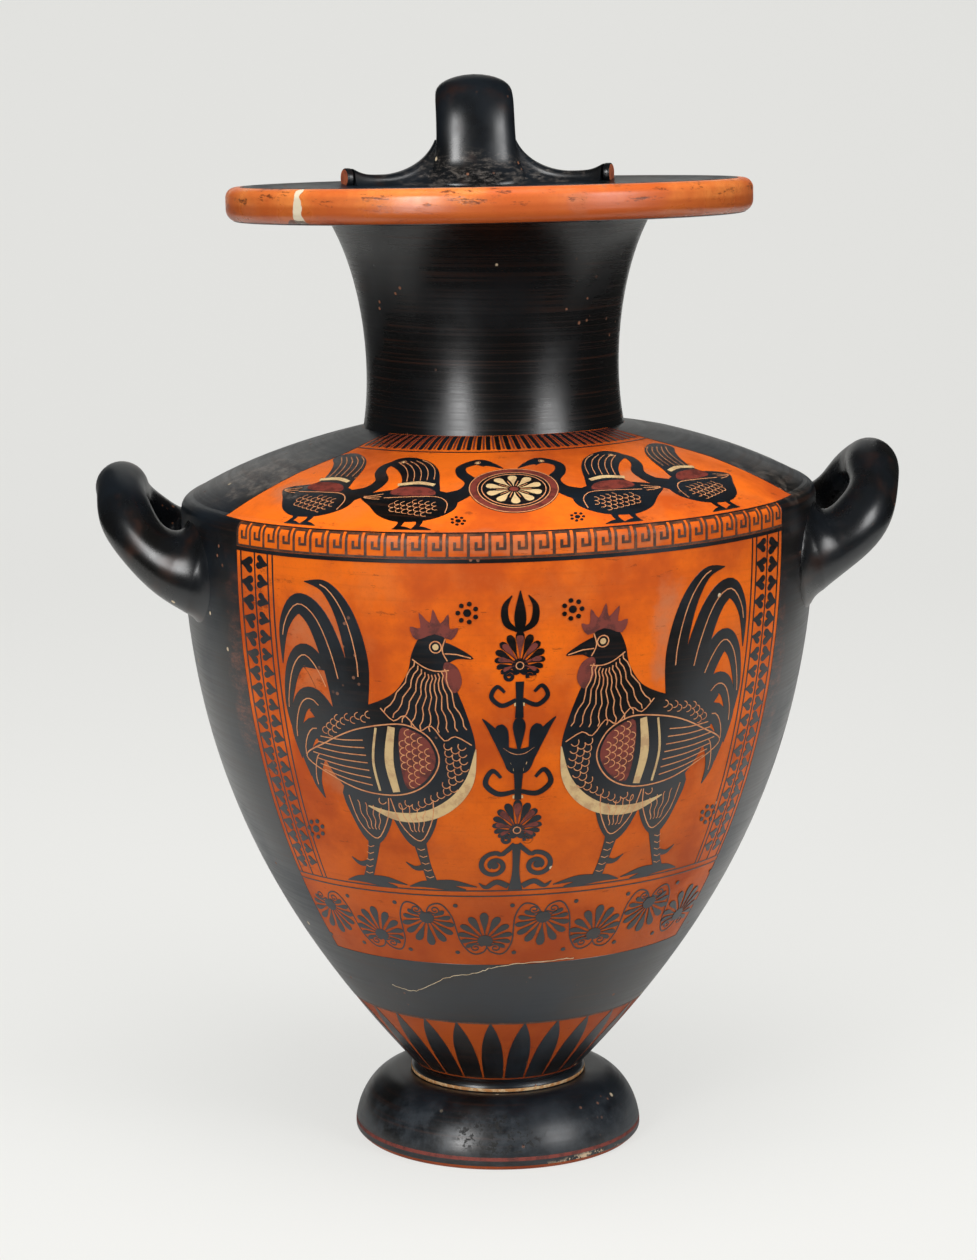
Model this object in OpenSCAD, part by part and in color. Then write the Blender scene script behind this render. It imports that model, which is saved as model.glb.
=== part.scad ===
// Water jar with three handles and an offset shoulder, wheel-thrown in sections.
// Every thrown or pulled clay member is one node. Up is +Z, the painted front faces -Y,
// and the origin is the middle of the ring that the foot rests on.

/* [Foot] */
// Radius of the ring that the jar rests on
foot_rest_r = 64.2; // [58:0.1:66]
// How far the side of the foot swells past its resting ring
foot_swell = 2.1; // [1:0.1:6]
// Height of the foot at the seat of the body
foot_h = 28; // [24:1:34]
// Height of the widest line of the foot
foot_widest_z = 3; // [3:0.5:9]
// Width of the resting ring, from its outer edge in
foot_ring_w = 9.5; // [6:0.5:14]
// Radius at the top of the hollow under the foot
foot_hollow_top_r = 25; // [16:1:28]

/* [Bead at the foot joint] */
// Height of the raised bead round the stem
bead_h = 4.6; // [3:0.2:7]
// How far the bead stands out from the stem
bead_out = 1.6; // [0.8:0.1:3]

/* [Body] */
// Outer radius of the stem where the body meets the foot
stem_r = 38.4; // [34:0.2:44]
// Outer radius of the body at the edge of the shoulder
body_r = 143.6; // [125:0.2:160]
// Height of the seam between body and shoulder
body_top_z = 298; // [270:1:320]
// How far down the wall keeps its width, as the pull of its curve
belly_drop = 112; // [80:1:140]
// How far the pull of that curve leans outwards
belly_swell = 1.9; // [0:0.1:5]
// Length of the pull of the curve where the wall leaves the stem
base_pull = 103; // [75:1:125]
// Slope of the wall where it leaves the stem
base_slope = 48; // [40:1:56]
// Wall thickness at the shoulder seam
wall = 6; // [4:0.2:9]
// Wall thickness at the stem
base_wall = 9; // [6:0.2:13]
// Thickness of the floor inside, over the foot
floor_t = 9; // [6:0.5:14]

/* [Shoulder] */
// Rise of the shoulder from the seam to the seat of the neck
shoulder_rise = 33; // [24:1:44]
// Radius of the rounded edge of the shoulder
edge_round = 6.5; // [4:0.5:10]
// How full the shoulder is between its edge and the neck
shoulder_crown = 5.2; // [0:0.2:8]
// Sideways lean of all that stands on the seam, in degrees
shoulder_lean = 1.5; // [0:0.1:2]

/* [Neck] */
// Outer radius of the neck at the shoulder
neck_root_r = 59; // [52:0.2:66]
// How far the neck draws in above its root
neck_waist = 4.8; // [2:0.2:9]
// Outer radius of the neck under the lip
neck_top_r = 72.4; // [66:0.2:80]
// Height of the neck
neck_h = 93.2; // [78:0.2:106]
// Wall thickness of the neck
neck_wall = 6; // [4:0.2:8]
// Backward lean of the neck and mouth, in degrees
neck_lean = 1.5; // [0:0.1:2]
// How much the neck straightens up again sideways, in degrees
neck_right = 0.45; // [0:0.05:1]
// How far the neck was set off the middle, to the left
neck_off = 1.2; // [0:0.1:2]

/* [Mouth] */
// Outer radius of the lip
lip_r = 117.9; // [108:0.2:128]
// Height of the upright face of the lip
lip_h = 15.2; // [12:0.2:19]
// Radius of the lower edge of the lip
lip_low_round = 5.5; // [3:0.5:7]
// Radius of the upper edge of the lip
lip_top_round = 4.6; // [1:0.2:6]
// Depth of the dish in the top of the lip
lip_dish = 3; // [1:0.2:5]

/* [Side handles] */
// Distance between the middles of a handle's two roots
side_spread = 76; // [64:1:88]
// Reach of a handle from the wall, along its curve
side_reach = 49; // [44:1:58]
// Radius of the bar at the middle of the loop
side_bar_r = 11.2; // [8:0.2:13]
// Radius of a root at the wall
side_root_r = 17.6; // [14:0.2:20]
// Drop from the shoulder seam to the middle of the roots
side_root_drop = 24; // [20:1:40]
// Slope at which a handle leaves the wall, in degrees
side_leave = 14; // [0:1:30]
// How much further the handle bends up to its loop, in degrees
side_bend = 64; // [45:1:75]

/* [Back handle] */
// Width of the strap above the lip
strap_w = 37.4; // [30:0.2:44]
// Width of the strap where it meets the shoulder
strap_low_w = 31; // [24:1:40]
// Thickness of the strap
strap_t = 14; // [10:0.5:17]
// Height of the low ridge along the middle of the strap
strap_ridge = 0.6; // [0:0.1:2.5]
// Rise of the strap's crown above the top of the lip
strap_rise = 43.5; // [34:0.5:54]
// How far the strap swings out behind the lip
strap_swing = 16.6; // [13:0.2:24]
// How far inside the edge of the shoulder the strap comes down
strap_foot_in = 36; // [26:1:50]

/* [Wings and discs] */
// Reach of each wing along the lip, sideways from the middle of the strap
wing_reach = 60.5; // [54:0.5:66]
// Height of a wing against the strap, above the lip
wing_h = 18.5; // [12:0.5:22]
// Height of a wing where it is lowest, above the lip
wing_low_h = 2.8; // [1.4:0.2:4]
// Thickness of a wing at its foot
wing_t = 10; // [8:0.5:14]
// Radius of the small upright disc at the end of each wing
disc_r = 4.6; // [3.6:0.2:7]
// Thickness of that disc
disc_t = 3.2; // [2.6:0.2:5]
// How far the disc is turned back from square to the wing, in degrees
disc_turn = 14; // [0:1:20]

/* [Hidden] */
$fn = 96;
tiny = 0.01;
clay_black = "#16171a";
clay_orange = "#c85a22";

neck_z = body_top_z + shoulder_rise;
lip_z = neck_z + neck_h;
lip_top_z = lip_z + lip_h;
body_start_z = foot_h + bead_h;
wall_steps = 30;
curve_steps = 14;
arc_steps = 6;
bar_sides = 16;
bar_steps = 40;
strap_sides = 20;
strap_steps = 20;
cut_size = 3 * body_r;

// Shapes of curves and sections

function bezier(a, b, c, d, steps) =
    [for (i = [0 : steps]) let (t = i / steps, u = 1 - t)
        u * u * u * a + 3 * u * u * t * b + 3 * u * t * t * c + t * t * t * d];

function rounded(center, radius, from, to, steps = arc_steps) =
    [for (i = [0 : steps]) let (a = from + (to - from) * i / steps)
        center + radius * [cos(a), sin(a)]];

function unit(v) = v / norm(v);

function along(points, i) =
    unit(points[min(i + 1, len(points) - 1)] - points[max(i - 1, 0)]);

// The curve moved sideways, to its left as it is walked, from first to last thickness
function inset(points, first, last) =
    [for (i = [0 : len(points) - 1])
        let (d = along(points, i), t = first + (last - first) * i / (len(points) - 1))
            points[i] + t * [-d[1], d[0]]];

function reversed(points) = [for (i = [len(points) - 1 : -1 : 0]) points[i]];

// The closed skin of a bar, from one ring of points for each step along it
function skin_faces(rings, sides) = concat(
    [[for (k = [0 : sides - 1]) k]],
    [for (i = [0 : rings - 2], k = [0 : sides - 1])
        let (k2 = (k + 1) % sides, a = i * sides, b = a + sides) [a + k, b + k, b + k2]],
    [for (i = [0 : rings - 2], k = [0 : sides - 1])
        let (k2 = (k + 1) % sides, a = i * sides, b = a + sides) [a + k, b + k2, a + k2]],
    [[for (k = [sides - 1 : -1 : 0]) (rings - 1) * sides + k]]);

module skin(rings) {
    sides = len(rings[0]);
    polyhedron(points = [for (ring = rings) each ring],
               faces = skin_faces(len(rings), sides), convexity = 8);
}

// Frames that lean as the thrown jar does

module shoulder_frame() {
    translate([0, 0, body_top_z]) rotate([0, -shoulder_lean, 0])
        translate([0, 0, -body_top_z]) children();
}

module neck_frame() {
    shoulder_frame() translate([-neck_off, 0, neck_z]) rotate([-neck_lean, neck_right, 0])
        translate([0, 0, -neck_z]) children();
}

// All that lies above a level plane
module above(z) {
    translate([-cut_size / 2, -cut_size / 2, z]) cube(cut_size);
}

// Outlines, as radius and height

body_side = bezier([body_r, body_top_z],
                   [body_r + belly_swell, body_top_z - belly_drop],
                   [stem_r + base_pull * cos(base_slope), body_start_z + base_pull * sin(base_slope)],
                   [stem_r, body_start_z], wall_steps);

// Extra wall above the seam, which the leaning cut takes off again
seam_spare = body_r * tan(shoulder_lean) + 1;

module body_core() {
    rotate_extrude() polygon(concat(
        [[0, body_top_z + seam_spare], [body_r, body_top_z + seam_spare]],
        body_side, [[stem_r, foot_h], [0, foot_h]]));
}

body_inside = [for (p = inset(body_side, -wall, -base_wall)) if (p[1] > foot_h + floor_t) p];

module body() {
    color(clay_orange) difference() {
        body_core();
        rotate_extrude() polygon(concat(
            [[0, body_top_z + seam_spare + tiny], [body_inside[0][0], body_top_z + seam_spare + tiny]],
            body_inside, [[0, foot_h + floor_t]]));
        shoulder_frame() above(body_top_z);
    }
}

module foot() {
    widest_r = foot_rest_r + foot_swell;
    color(clay_black) rotate_extrude() polygon(concat(
        bezier([stem_r + bead_out, foot_h], [(stem_r + widest_r) / 2 + 6, foot_h + 4],
               [widest_r, foot_widest_z + 9], [widest_r, foot_widest_z], curve_steps),
        bezier([widest_r, foot_widest_z], [widest_r, foot_widest_z / 2],
               [foot_rest_r + 1, foot_widest_z / 3], [foot_rest_r, 0], arc_steps),
        [[foot_rest_r - foot_ring_w, 0]],
        bezier([foot_rest_r - foot_ring_w - 1.5, 1.5],
               [foot_rest_r - foot_ring_w - 8, foot_h * 0.5],
               [foot_hollow_top_r + 7, foot_h * 0.72],
               [foot_hollow_top_r, foot_h - 6], arc_steps),
        [[foot_hollow_top_r, foot_h]]));
}

module foot_bead() {
    color(clay_black) rotate_extrude() polygon(concat(
        [[stem_r, foot_h]],
        bezier([stem_r + bead_out, foot_h], [stem_r + 1.7 * bead_out, foot_h + bead_h * 0.3],
               [stem_r + 1.1 * bead_out, foot_h + bead_h * 0.9], [stem_r, foot_h + bead_h], arc_steps)));
}

// The shoulder, from the seam round its edge and up to the seat of the neck
slope_start = [body_r - edge_round * 0.84, body_top_z + edge_round * 0.86];
seat_point = [neck_root_r, neck_z];
slope = seat_point - slope_start;
shoulder_side = concat(
    bezier([body_r, body_top_z], [body_r, body_top_z + edge_round * 0.5],
           slope_start - unit(slope) * edge_round * 0.4, slope_start, arc_steps),
    bezier(slope_start, slope_start + slope * 0.3 + [0, shoulder_crown],
           seat_point - slope * 0.33 + [0, shoulder_crown * 0.6], seat_point, curve_steps));
// The clay stands a little above the seat, and the leaning cut trims it to the neck
seat_spare = neck_root_r * tan(neck_lean) + 1;

module shoulder_core() {
    rotate_extrude() polygon(concat([[0, body_top_z]], shoulder_side,
        [[neck_root_r, neck_z + seat_spare], [0, neck_z + seat_spare]]));
}

module shoulder() {
    under = inset(shoulder_side, wall, wall);
    bore_r = neck_root_r - neck_wall;
    color(clay_orange) difference() {
        shoulder_frame() difference() {
            shoulder_core();
            rotate_extrude() polygon(concat(
                [[0, body_top_z - tiny], [body_inside[0][0], body_top_z - tiny]],
                [for (p = under) if (p[1] > body_top_z && p[0] > bore_r) p],
                [[bore_r, neck_z - wall * 0.9], [bore_r, neck_z + seat_spare + tiny],
                 [0, neck_z + seat_spare + tiny]]));
        }
        neck_frame() above(neck_z);
    }
}

neck_side = bezier([neck_root_r, neck_z], [neck_root_r - neck_waist, neck_z + neck_h * 0.28],
                   [neck_root_r - neck_waist + 3.2, neck_z + neck_h * 0.72],
                   [neck_top_r, lip_z], wall_steps);

module neck() {
    inner = [for (p = neck_side) [p[0] - neck_wall, p[1]]];
    color(clay_black) neck_frame() rotate_extrude()
        polygon(concat(neck_side, reversed(inner)));
}

// The lip: a flat collar with an upright face, dished on top and open to the neck
lip_bore_r = neck_top_r - neck_wall;
lip_face = concat(
    rounded([lip_r - lip_low_round, lip_z + lip_low_round], lip_low_round, -90, 0),
    rounded([lip_r - lip_top_round, lip_top_z - lip_top_round], lip_top_round, 0, 90));
throat_r = lip_bore_r + 11;
lip_top = bezier([lip_r - lip_top_round - 2, lip_top_z], [lip_r - 16, lip_top_z - lip_dish],
                 [throat_r + 8, lip_top_z - lip_dish * 1.1], [throat_r, lip_top_z - lip_dish * 1.6],
                 curve_steps);
throat = bezier([throat_r, lip_top_z - lip_dish * 1.6], [throat_r - 5, lip_top_z - lip_dish * 2.1],
                [lip_bore_r + 3, lip_z + 5], [lip_bore_r, lip_z], curve_steps);

module mouth_solid() {
    neck_frame() rotate_extrude()
        polygon(concat(lip_face, lip_top, [for (i = [1 : len(throat) - 1]) throat[i]]));
}

module mouth() {
    color(clay_black) mouth_solid();
}

// The side handle: a round bar bent into a horseshoe on a sheet that curves upwards
side_bend_r = side_reach / (side_bend * PI / 180);
side_half = side_spread / 2;
side_leg = side_reach - side_half;
side_sunk = 14;
side_root_z = body_top_z - side_root_drop;
root_wall_x = sqrt(pow(lookup_r(side_root_z), 2) - pow(side_half, 2));

// Outer radius of the body at a height
function lookup_r(z) = lookup(z, [for (p = body_side) [p[1], p[0]]]);

// Where a point of the bar's middle line lies, from its distance out along the sheet
function sheet_angle(s) = side_leave + side_bend * max(s, 0) / side_reach;
function sheet_point(s, y) = [
    root_wall_x + min(s, 0) * cos(side_leave) + side_bend_r * (sin(sheet_angle(s)) - sin(side_leave)),
    y,
    side_root_z + min(s, 0) * sin(side_leave) + side_bend_r * (cos(side_leave) - cos(sheet_angle(s)))];

// Distance out along the sheet and sideways, at each step from root to root
leg_steps = 9;
side_run = concat(
    [for (i = [0 : leg_steps - 1]) [-side_sunk + (side_leg + side_sunk) * i / leg_steps, side_half]],
    [for (i = [0 : bar_steps - 2 * leg_steps]) let (a = 180 * i / (bar_steps - 2 * leg_steps))
        [side_leg + side_half * sin(a), side_half * cos(a)]],
    [for (i = [leg_steps - 1 : -1 : 0]) [-side_sunk + (side_leg + side_sunk) * i / leg_steps, -side_half]]);
side_line = [for (p = side_run) sheet_point(p[0], p[1])];

function bar_r(s) = side_bar_r + (side_root_r - side_bar_r) * exp(-max(s, 0) / side_root_r);

side_rings = [for (i = [0 : len(side_line) - 1])
    let (t = along(side_line, i), a = sheet_angle(side_run[i][0]),
         up = [-sin(a), 0, cos(a)], side = cross(t, up), r = bar_r(side_run[i][0]))
        [for (k = [0 : bar_sides - 1]) let (q = 360 * k / bar_sides)
            side_line[i] + r * (cos(q) * up + sin(q) * side)]];

module side_handle(turn) {
    color(clay_black) difference() {
        shoulder_frame() rotate([0, 0, turn]) skin(side_rings);
        body_core();
    }
}

// The back handle: a strap that rises from the lip, turns over and comes down to the shoulder
strap_front_y = lip_r - 15.5;
strap_back_y = lip_r + strap_swing - 0.5;
strap_outer = strap_t * 0.6;
strap_inner = strap_t * 0.4;
strap_crown_z = lip_top_z + strap_rise - strap_outer;
strap_foot_y = body_r - strap_foot_in;
strap_foot_z = lookup(strap_foot_y, [for (p = reversed(shoulder_side)) [p[0], p[1]]]);
strap_mid_z = lip_z + 4;
crown_pull = (strap_crown_z - strap_mid_z) * 4 / 3;
strap_start_z = lip_top_z - lip_dish - 6;
strap_line = concat(
    [[strap_front_y, strap_start_z]],
    bezier([strap_front_y, strap_mid_z + 14], [strap_front_y - 2, strap_mid_z + crown_pull + 4],
           [strap_back_y - 1, strap_mid_z + crown_pull - 4], [strap_back_y, strap_mid_z], strap_steps),
    [for (i = [1 : strap_steps]) bezier([strap_back_y, strap_mid_z], [strap_back_y + 1, strap_mid_z - 42],
           [strap_foot_y + 17, strap_foot_z + 36], [strap_foot_y - 3, strap_foot_z - 8], strap_steps)[i]]);

function strap_width(i) = let (t = max(0, i - strap_steps / 2) / (1.5 * strap_steps))
    strap_w + (strap_low_w - strap_w) * min(1, 1.3 * t);

function power(v, p) = sign(v) * pow(abs(v), p);

strap_rings = [for (i = [0 : len(strap_line) - 1])
    let (t = along(strap_line, i), out = [0, -t[1], t[0]], w = strap_width(i) / 2)
        [for (k = [0 : strap_sides - 1])
            let (q = 360 * k / strap_sides, x = w * power(cos(q), 0.8),
                 rise = sin(q) > 0 ? strap_outer * sin(q) + strap_ridge * exp(-pow(x / 8, 2))
                                   : strap_inner * power(sin(q), 0.6))
                [x, strap_line[i][0], strap_line[i][1]] + rise * out]];

module strap() {
    shoulder_frame() skin(strap_rings);
}

module back_handle() {
    color(clay_black) difference() {
        strap();
        shoulder_frame() shoulder_core();
        mouth_solid();
        wing_solid(-1);
        wing_solid(1);
    }
}

// A wing: clay drawn out from the strap along the lip, to a small disc at its end
wing_mid_r = strap_front_y + 1.8;
wing_outer_r = wing_mid_r + wing_t / 2;
wing_inner_r = wing_mid_r - wing_t / 2;
wing_start_x = strap_w * 0.42;
wing_turn = asin(wing_reach / wing_inner_r) + 8;
wing_edge = concat(
    [[wing_start_x, wing_h]],
    bezier([strap_w / 2 + 0.5, wing_h], [strap_w / 2 + 3.5, wing_h * 0.57],
           [strap_w / 2 + 12, wing_low_h * 1.3], [strap_w / 2 + 25, wing_low_h], curve_steps),
    bezier([strap_w / 2 + 26, wing_low_h], [wing_reach - 5, wing_low_h],
           [wing_reach - 3, wing_low_h + 1.5], [wing_reach, disc_r * 1.3], arc_steps));

// The wing's top edge, on one side, cut from a ring that narrows as it rises
module wing_solid(side) {
    foot_z = -2 * lip_dish;
    neck_frame() translate([0, 0, lip_top_z]) intersection() {
        mirror([side < 0 ? 1 : 0, 0, 0]) rotate([90, 0, 0]) linear_extrude(height = 2 * lip_r, center = true)
            polygon(concat([[wing_start_x, foot_z]], wing_edge, [[wing_reach, foot_z]]));
        rotate([0, 0, 90 - wing_turn]) rotate_extrude(angle = 2 * wing_turn)
            polygon([[wing_outer_r, foot_z], [wing_outer_r, 0], [wing_mid_r + 2.6, wing_h + 2],
                     [wing_mid_r - 2.6, wing_h + 2], [wing_inner_r, 0], [wing_inner_r, foot_z]]);
    }
}

module wing(side) {
    color(clay_black) difference() {
        wing_solid(side);
        mouth_solid();
    }
}

module end_disc(side) {
    color(clay_orange) difference() {
        neck_frame() rotate([0, 0, 90 - side * asin((wing_reach + disc_t * 0.4) / wing_mid_r)])
            translate([wing_mid_r, 0, lip_top_z - lip_dish + disc_r])
                rotate([90, 0, side * disc_turn]) cylinder(r = disc_r, h = disc_t, center = true);
        wing_solid(side);
        mouth_solid();
    }
}

foot();
foot_bead();
body();
shoulder();
neck();
mouth();
side_handle(180);  // left_handle
side_handle(0);  // right_handle
back_handle();
wing(-1);  // left_wing
wing(1);  // right_wing
end_disc(-1);  // left_disc
end_disc(1);  // right_disc
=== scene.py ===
"""A black-figure water jar: thrown parts, handles, slip, ornament and generic birds, on its CAD frame."""

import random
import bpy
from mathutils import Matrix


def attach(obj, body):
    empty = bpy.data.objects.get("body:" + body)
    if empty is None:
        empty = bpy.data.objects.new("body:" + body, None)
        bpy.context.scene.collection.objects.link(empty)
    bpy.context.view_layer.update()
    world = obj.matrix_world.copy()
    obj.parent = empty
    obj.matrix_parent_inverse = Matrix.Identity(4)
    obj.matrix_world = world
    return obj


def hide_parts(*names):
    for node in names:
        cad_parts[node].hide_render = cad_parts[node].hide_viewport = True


bl_info = {
    "name": "Painted Hydria",
    "version": (1, 0, 0),
    "blender": (4, 5, 0),
    "location": "View3D > Sidebar > Hydria",
    "description": "Models a painted three-handled water jar piece by piece",
    "category": "Object",
}

from math import asin, atan2, cos, exp, hypot, pi, radians, sin, sqrt, tan

import bpy
from bpy.props import FloatProperty, IntProperty, PointerProperty, StringProperty
from mathutils import Matrix, Vector

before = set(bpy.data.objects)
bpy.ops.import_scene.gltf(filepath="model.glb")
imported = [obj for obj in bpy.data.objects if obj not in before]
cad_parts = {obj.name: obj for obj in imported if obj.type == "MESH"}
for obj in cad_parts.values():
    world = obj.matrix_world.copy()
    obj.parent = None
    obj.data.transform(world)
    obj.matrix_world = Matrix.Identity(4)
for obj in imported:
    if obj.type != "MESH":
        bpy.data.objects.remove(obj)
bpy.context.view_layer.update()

MM = 0.001
BODY = "root"

# Outlines of the thrown parts in millimetres, as (radius, height), with the CAD's values; the body is
# 0.2 mm narrower, as room for its coat of slip.

FOOT_R, REST_OUT_R, REST_IN_R, FOOT_HOLLOW_R, FOOT_TOP = 66.3, 64.2, 54.7, 25.0, (40.0, 28.0)
STEM_R, STEM_Z, STEM_PULL, STEM_SLOPE = 38.4, 32.6, 103.0, radians(48)
BODY_R, SEAM_Z, BELLY_SWELL, BELLY_PULL = 143.38, 298.0, 1.9, 112.0
WALL, BASE_WALL, FLOOR_Z = 6.0, 9.0, 37.0
EDGE, SHOULDER_SWELL = 6.5, 5.2
NECK_R, NECK_Z, NECK_WAIST, NECK_TOP_R = 59.0, 331.0, 4.8, 72.4
LIP_Z, LIP_TOP_Z, LIP_R, LIP_LOW_ROUND, LIP_TOP_ROUND, LIP_DISH = 424.2, 439.4, 117.9, 5.5, 4.6, 3.0
THROAT_R, LIP_BORE_R = 77.4, 66.4

# Leans: the seam slants sideways, and the wall under it comes level again between LEAN_Z and LEVEL_Z; the neck
# leans back and stands a little straighter, on a seat that is cut to suit inside SEAT_R.

SHOULDER_LEAN, NECK_LEAN, NECK_RIGHT, NECK_OFF = radians(1.5), radians(1.5), radians(0.45), 1.2
LEVEL_Z, LEAN_Z, SEAT_R = 60.0, 130.0, 86.0

# The painting sheet: half the panel's angle, the radius at which the wall is laid out flat, and the finer rows
# of cells over the seam's rounded edge.

PANEL_HALF, PANEL_R = radians(55), 136.0
EDGE_ROW, EDGE_ROWS = 0.7, 16


def bezier(a, b, c, d, steps):
    """Points along a cubic curve, both ends included."""
    points = []
    for i in range(steps + 1):
        t = i / steps
        u = 1 - t
        weights = (u * u * u, 3 * u * u * t, 3 * u * t * t, t * t * t)
        points.append(tuple(sum(w * p[k] for w, p in zip(weights, (a, b, c, d))) for k in range(len(a))))
    return points


def rounded(centre, radius, start, stop, steps=8):
    """Points along an arc, with angles in degrees."""
    turns = [radians(start + (stop - start) * i / steps) for i in range(steps + 1)]
    return [(centre[0] + radius * cos(a), centre[1] + radius * sin(a)) for a in turns]


def moved_in(points, first, last):
    """The curve moved to its left as it is walked, by a thickness that changes along it."""
    out = []
    for i, p in enumerate(points):
        a, b = points[max(i - 1, 0)], points[min(i + 1, len(points) - 1)]
        size = hypot(b[0] - a[0], b[1] - a[1])
        t = first + (last - first) * i / (len(points) - 1)
        out.append((p[0] - t * (b[1] - a[1]) / size, p[1] + t * (b[0] - a[0]) / size))
    return out


def smooth_step(low, high, value):
    """0 below one value, 1 above the other, and a smooth rise between them."""
    t = min(1.0, max(0.0, (value - low) / (high - low)))
    return t * t * (3 - 2 * t)


BODY_SIDE = bezier((BODY_R, SEAM_Z), (BODY_R + BELLY_SWELL, SEAM_Z - BELLY_PULL),
                   (STEM_R + STEM_PULL * cos(STEM_SLOPE), STEM_Z + STEM_PULL * sin(STEM_SLOPE)),
                   (STEM_R, STEM_Z), 120)

SLOPE_START = (BODY_R - EDGE * 0.84, SEAM_Z + EDGE * 0.86)
SLOPE = (NECK_R - SLOPE_START[0], NECK_Z - SLOPE_START[1])
SLOPE_SIZE = hypot(*SLOPE)
SHOULDER_SIDE = bezier(
    (BODY_R, SEAM_Z), (BODY_R, SEAM_Z + EDGE * 0.5),
    (SLOPE_START[0] - SLOPE[0] / SLOPE_SIZE * EDGE * 0.4, SLOPE_START[1] - SLOPE[1] / SLOPE_SIZE * EDGE * 0.4),
    SLOPE_START, 14) + bezier(
    SLOPE_START, (SLOPE_START[0] + SLOPE[0] * 0.3, SLOPE_START[1] + SLOPE[1] * 0.3 + SHOULDER_SWELL),
    (NECK_R - SLOPE[0] * 0.33, NECK_Z - SLOPE[1] * 0.33 + SHOULDER_SWELL * 0.6), (NECK_R, NECK_Z), 48)[1:]

NECK_H = LIP_Z - NECK_Z
NECK_SIDE = bezier((NECK_R, NECK_Z), (NECK_R - NECK_WAIST, NECK_Z + NECK_H * 0.28),
                   (NECK_R - NECK_WAIST / 3, NECK_Z + NECK_H * 0.72), (NECK_TOP_R, LIP_Z), 60)
LIP_FACE = (rounded((LIP_R - LIP_LOW_ROUND, LIP_Z + LIP_LOW_ROUND), LIP_LOW_ROUND, -90, 0)
            + rounded((LIP_R - LIP_TOP_ROUND, LIP_TOP_Z - LIP_TOP_ROUND), LIP_TOP_ROUND, 0, 90))
LIP_TOP = bezier((LIP_R - LIP_TOP_ROUND - 2, LIP_TOP_Z), (LIP_R - 16, LIP_TOP_Z - LIP_DISH),
                 (THROAT_R + 8, LIP_TOP_Z - LIP_DISH * 1.1), (THROAT_R, LIP_TOP_Z - LIP_DISH * 1.6), 20)
THROAT = bezier((THROAT_R, LIP_TOP_Z - LIP_DISH * 1.6), (THROAT_R - 5, LIP_TOP_Z - LIP_DISH * 2.1),
                (LIP_BORE_R + 3, LIP_Z + 5), (LIP_BORE_R, LIP_Z), 16)

FOOT_SIDE = (bezier(FOOT_TOP, ((STEM_R + FOOT_R) / 2 + 6, 32.0), (FOOT_R, 12.0), (FOOT_R, 3.0), 32)
             + bezier((FOOT_R, 3.0), (FOOT_R, 1.5), (REST_OUT_R + 1, 1.0), (REST_OUT_R, 0.0), 12)[1:])
FOOT_HOLLOW = bezier((REST_IN_R - 1.5, 1.5), (REST_IN_R - 8, 14.0), (32.0, 20.16), (FOOT_HOLLOW_R, 22.0), 16)
BEAD_SIDE = bezier(FOOT_TOP, (STEM_R + 2.72, 29.4), (STEM_R + 1.76, 32.1), (STEM_R, STEM_Z), 12)

SHOULDER_FRAME = (Matrix.Translation((0, 0, SEAM_Z)) @ Matrix.Rotation(-SHOULDER_LEAN, 4, "Y")
                  @ Matrix.Translation((0, 0, -SEAM_Z)))
NECK_FRAME = (SHOULDER_FRAME @ Matrix.Translation((-NECK_OFF, 0, NECK_Z)) @ Matrix.Rotation(NECK_RIGHT, 4, "Y")
              @ Matrix.Rotation(-NECK_LEAN, 4, "X") @ Matrix.Translation((0, 0, -NECK_Z)))


# The painted skin: distance along the outer wall, zero at the seam, up the shoulder and down the body.

def with_distance(points, sign):
    """Each point with its distance along the curve."""
    total, out = 0.0, [(0.0, *points[0])]
    for a, b in zip(points, points[1:]):
        total += hypot(b[0] - a[0], b[1] - a[1])
        out.append((sign * total, *b))
    return out


UP_SKIN = with_distance(SHOULDER_SIDE, 1)
# the body's table runs 12 mm straight on above the seam, so that edges that lean can be looked up in it
DOWN_SKIN = with_distance(BODY_SIDE, -1)[::-1] + [(12.0, BODY_R, SEAM_Z + 12.0)]
SEAT_S = UP_SKIN[-1][0]


def skin_at(table, s):
    """Radius, height and outward normal of the wall at a distance along it."""
    low, high = 0, len(table) - 1
    while high - low > 1:
        mid = (low + high) // 2
        if table[mid][0] > s:
            high = mid
        else:
            low = mid
    a, b = table[low], table[high]
    t = (s - a[0]) / (b[0] - a[0])
    dr, dz = b[1] - a[1], b[2] - a[2]
    size = hypot(dr, dz)
    return a[1] + t * dr, a[2] + t * dz, dz / size, -dr / size


def skin_distance(height):
    """Distance along the body's wall, or its shoulder, at a height."""
    table = DOWN_SKIN if height < SEAM_Z else UP_SKIN
    for a, b in zip(table, table[1:]):
        if a[2] <= height <= b[2]:
            return a[0] + (b[0] - a[0]) * (height - a[2]) / (b[2] - a[2])
    raise ValueError(height)


def skin_point(turn, s, lift):
    """Place and normal of a painted point: turn is 0 at the front and grows to the right."""
    table = UP_SKIN if s >= 0 else DOWN_SKIN
    r, z, nr, nz = skin_at(table, s)
    if s < 0:
        # the painted bands follow the leaning seam, and come level again at the rays
        s += lean_at(z) * r * sin(turn) / max(nr, 0.3)
        r, z, nr, nz = skin_at(DOWN_SKIN, s)
    around = Vector((sin(turn), -cos(turn), 0))
    normal = around * nr + Vector((0, 0, nz))
    point = around * r + Vector((0, 0, z)) + normal * lift
    if table is UP_SKIN:
        point += seat_shift(point, r)
        point, normal = SHOULDER_FRAME @ point, SHOULDER_FRAME.to_3x3() @ normal
    return point, normal


def lean_at(z):
    """How steeply a level line on the body's wall leans at a height."""
    return tan(SHOULDER_LEAN) * smooth_step(LEVEL_Z, LEAN_Z, z)


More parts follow.
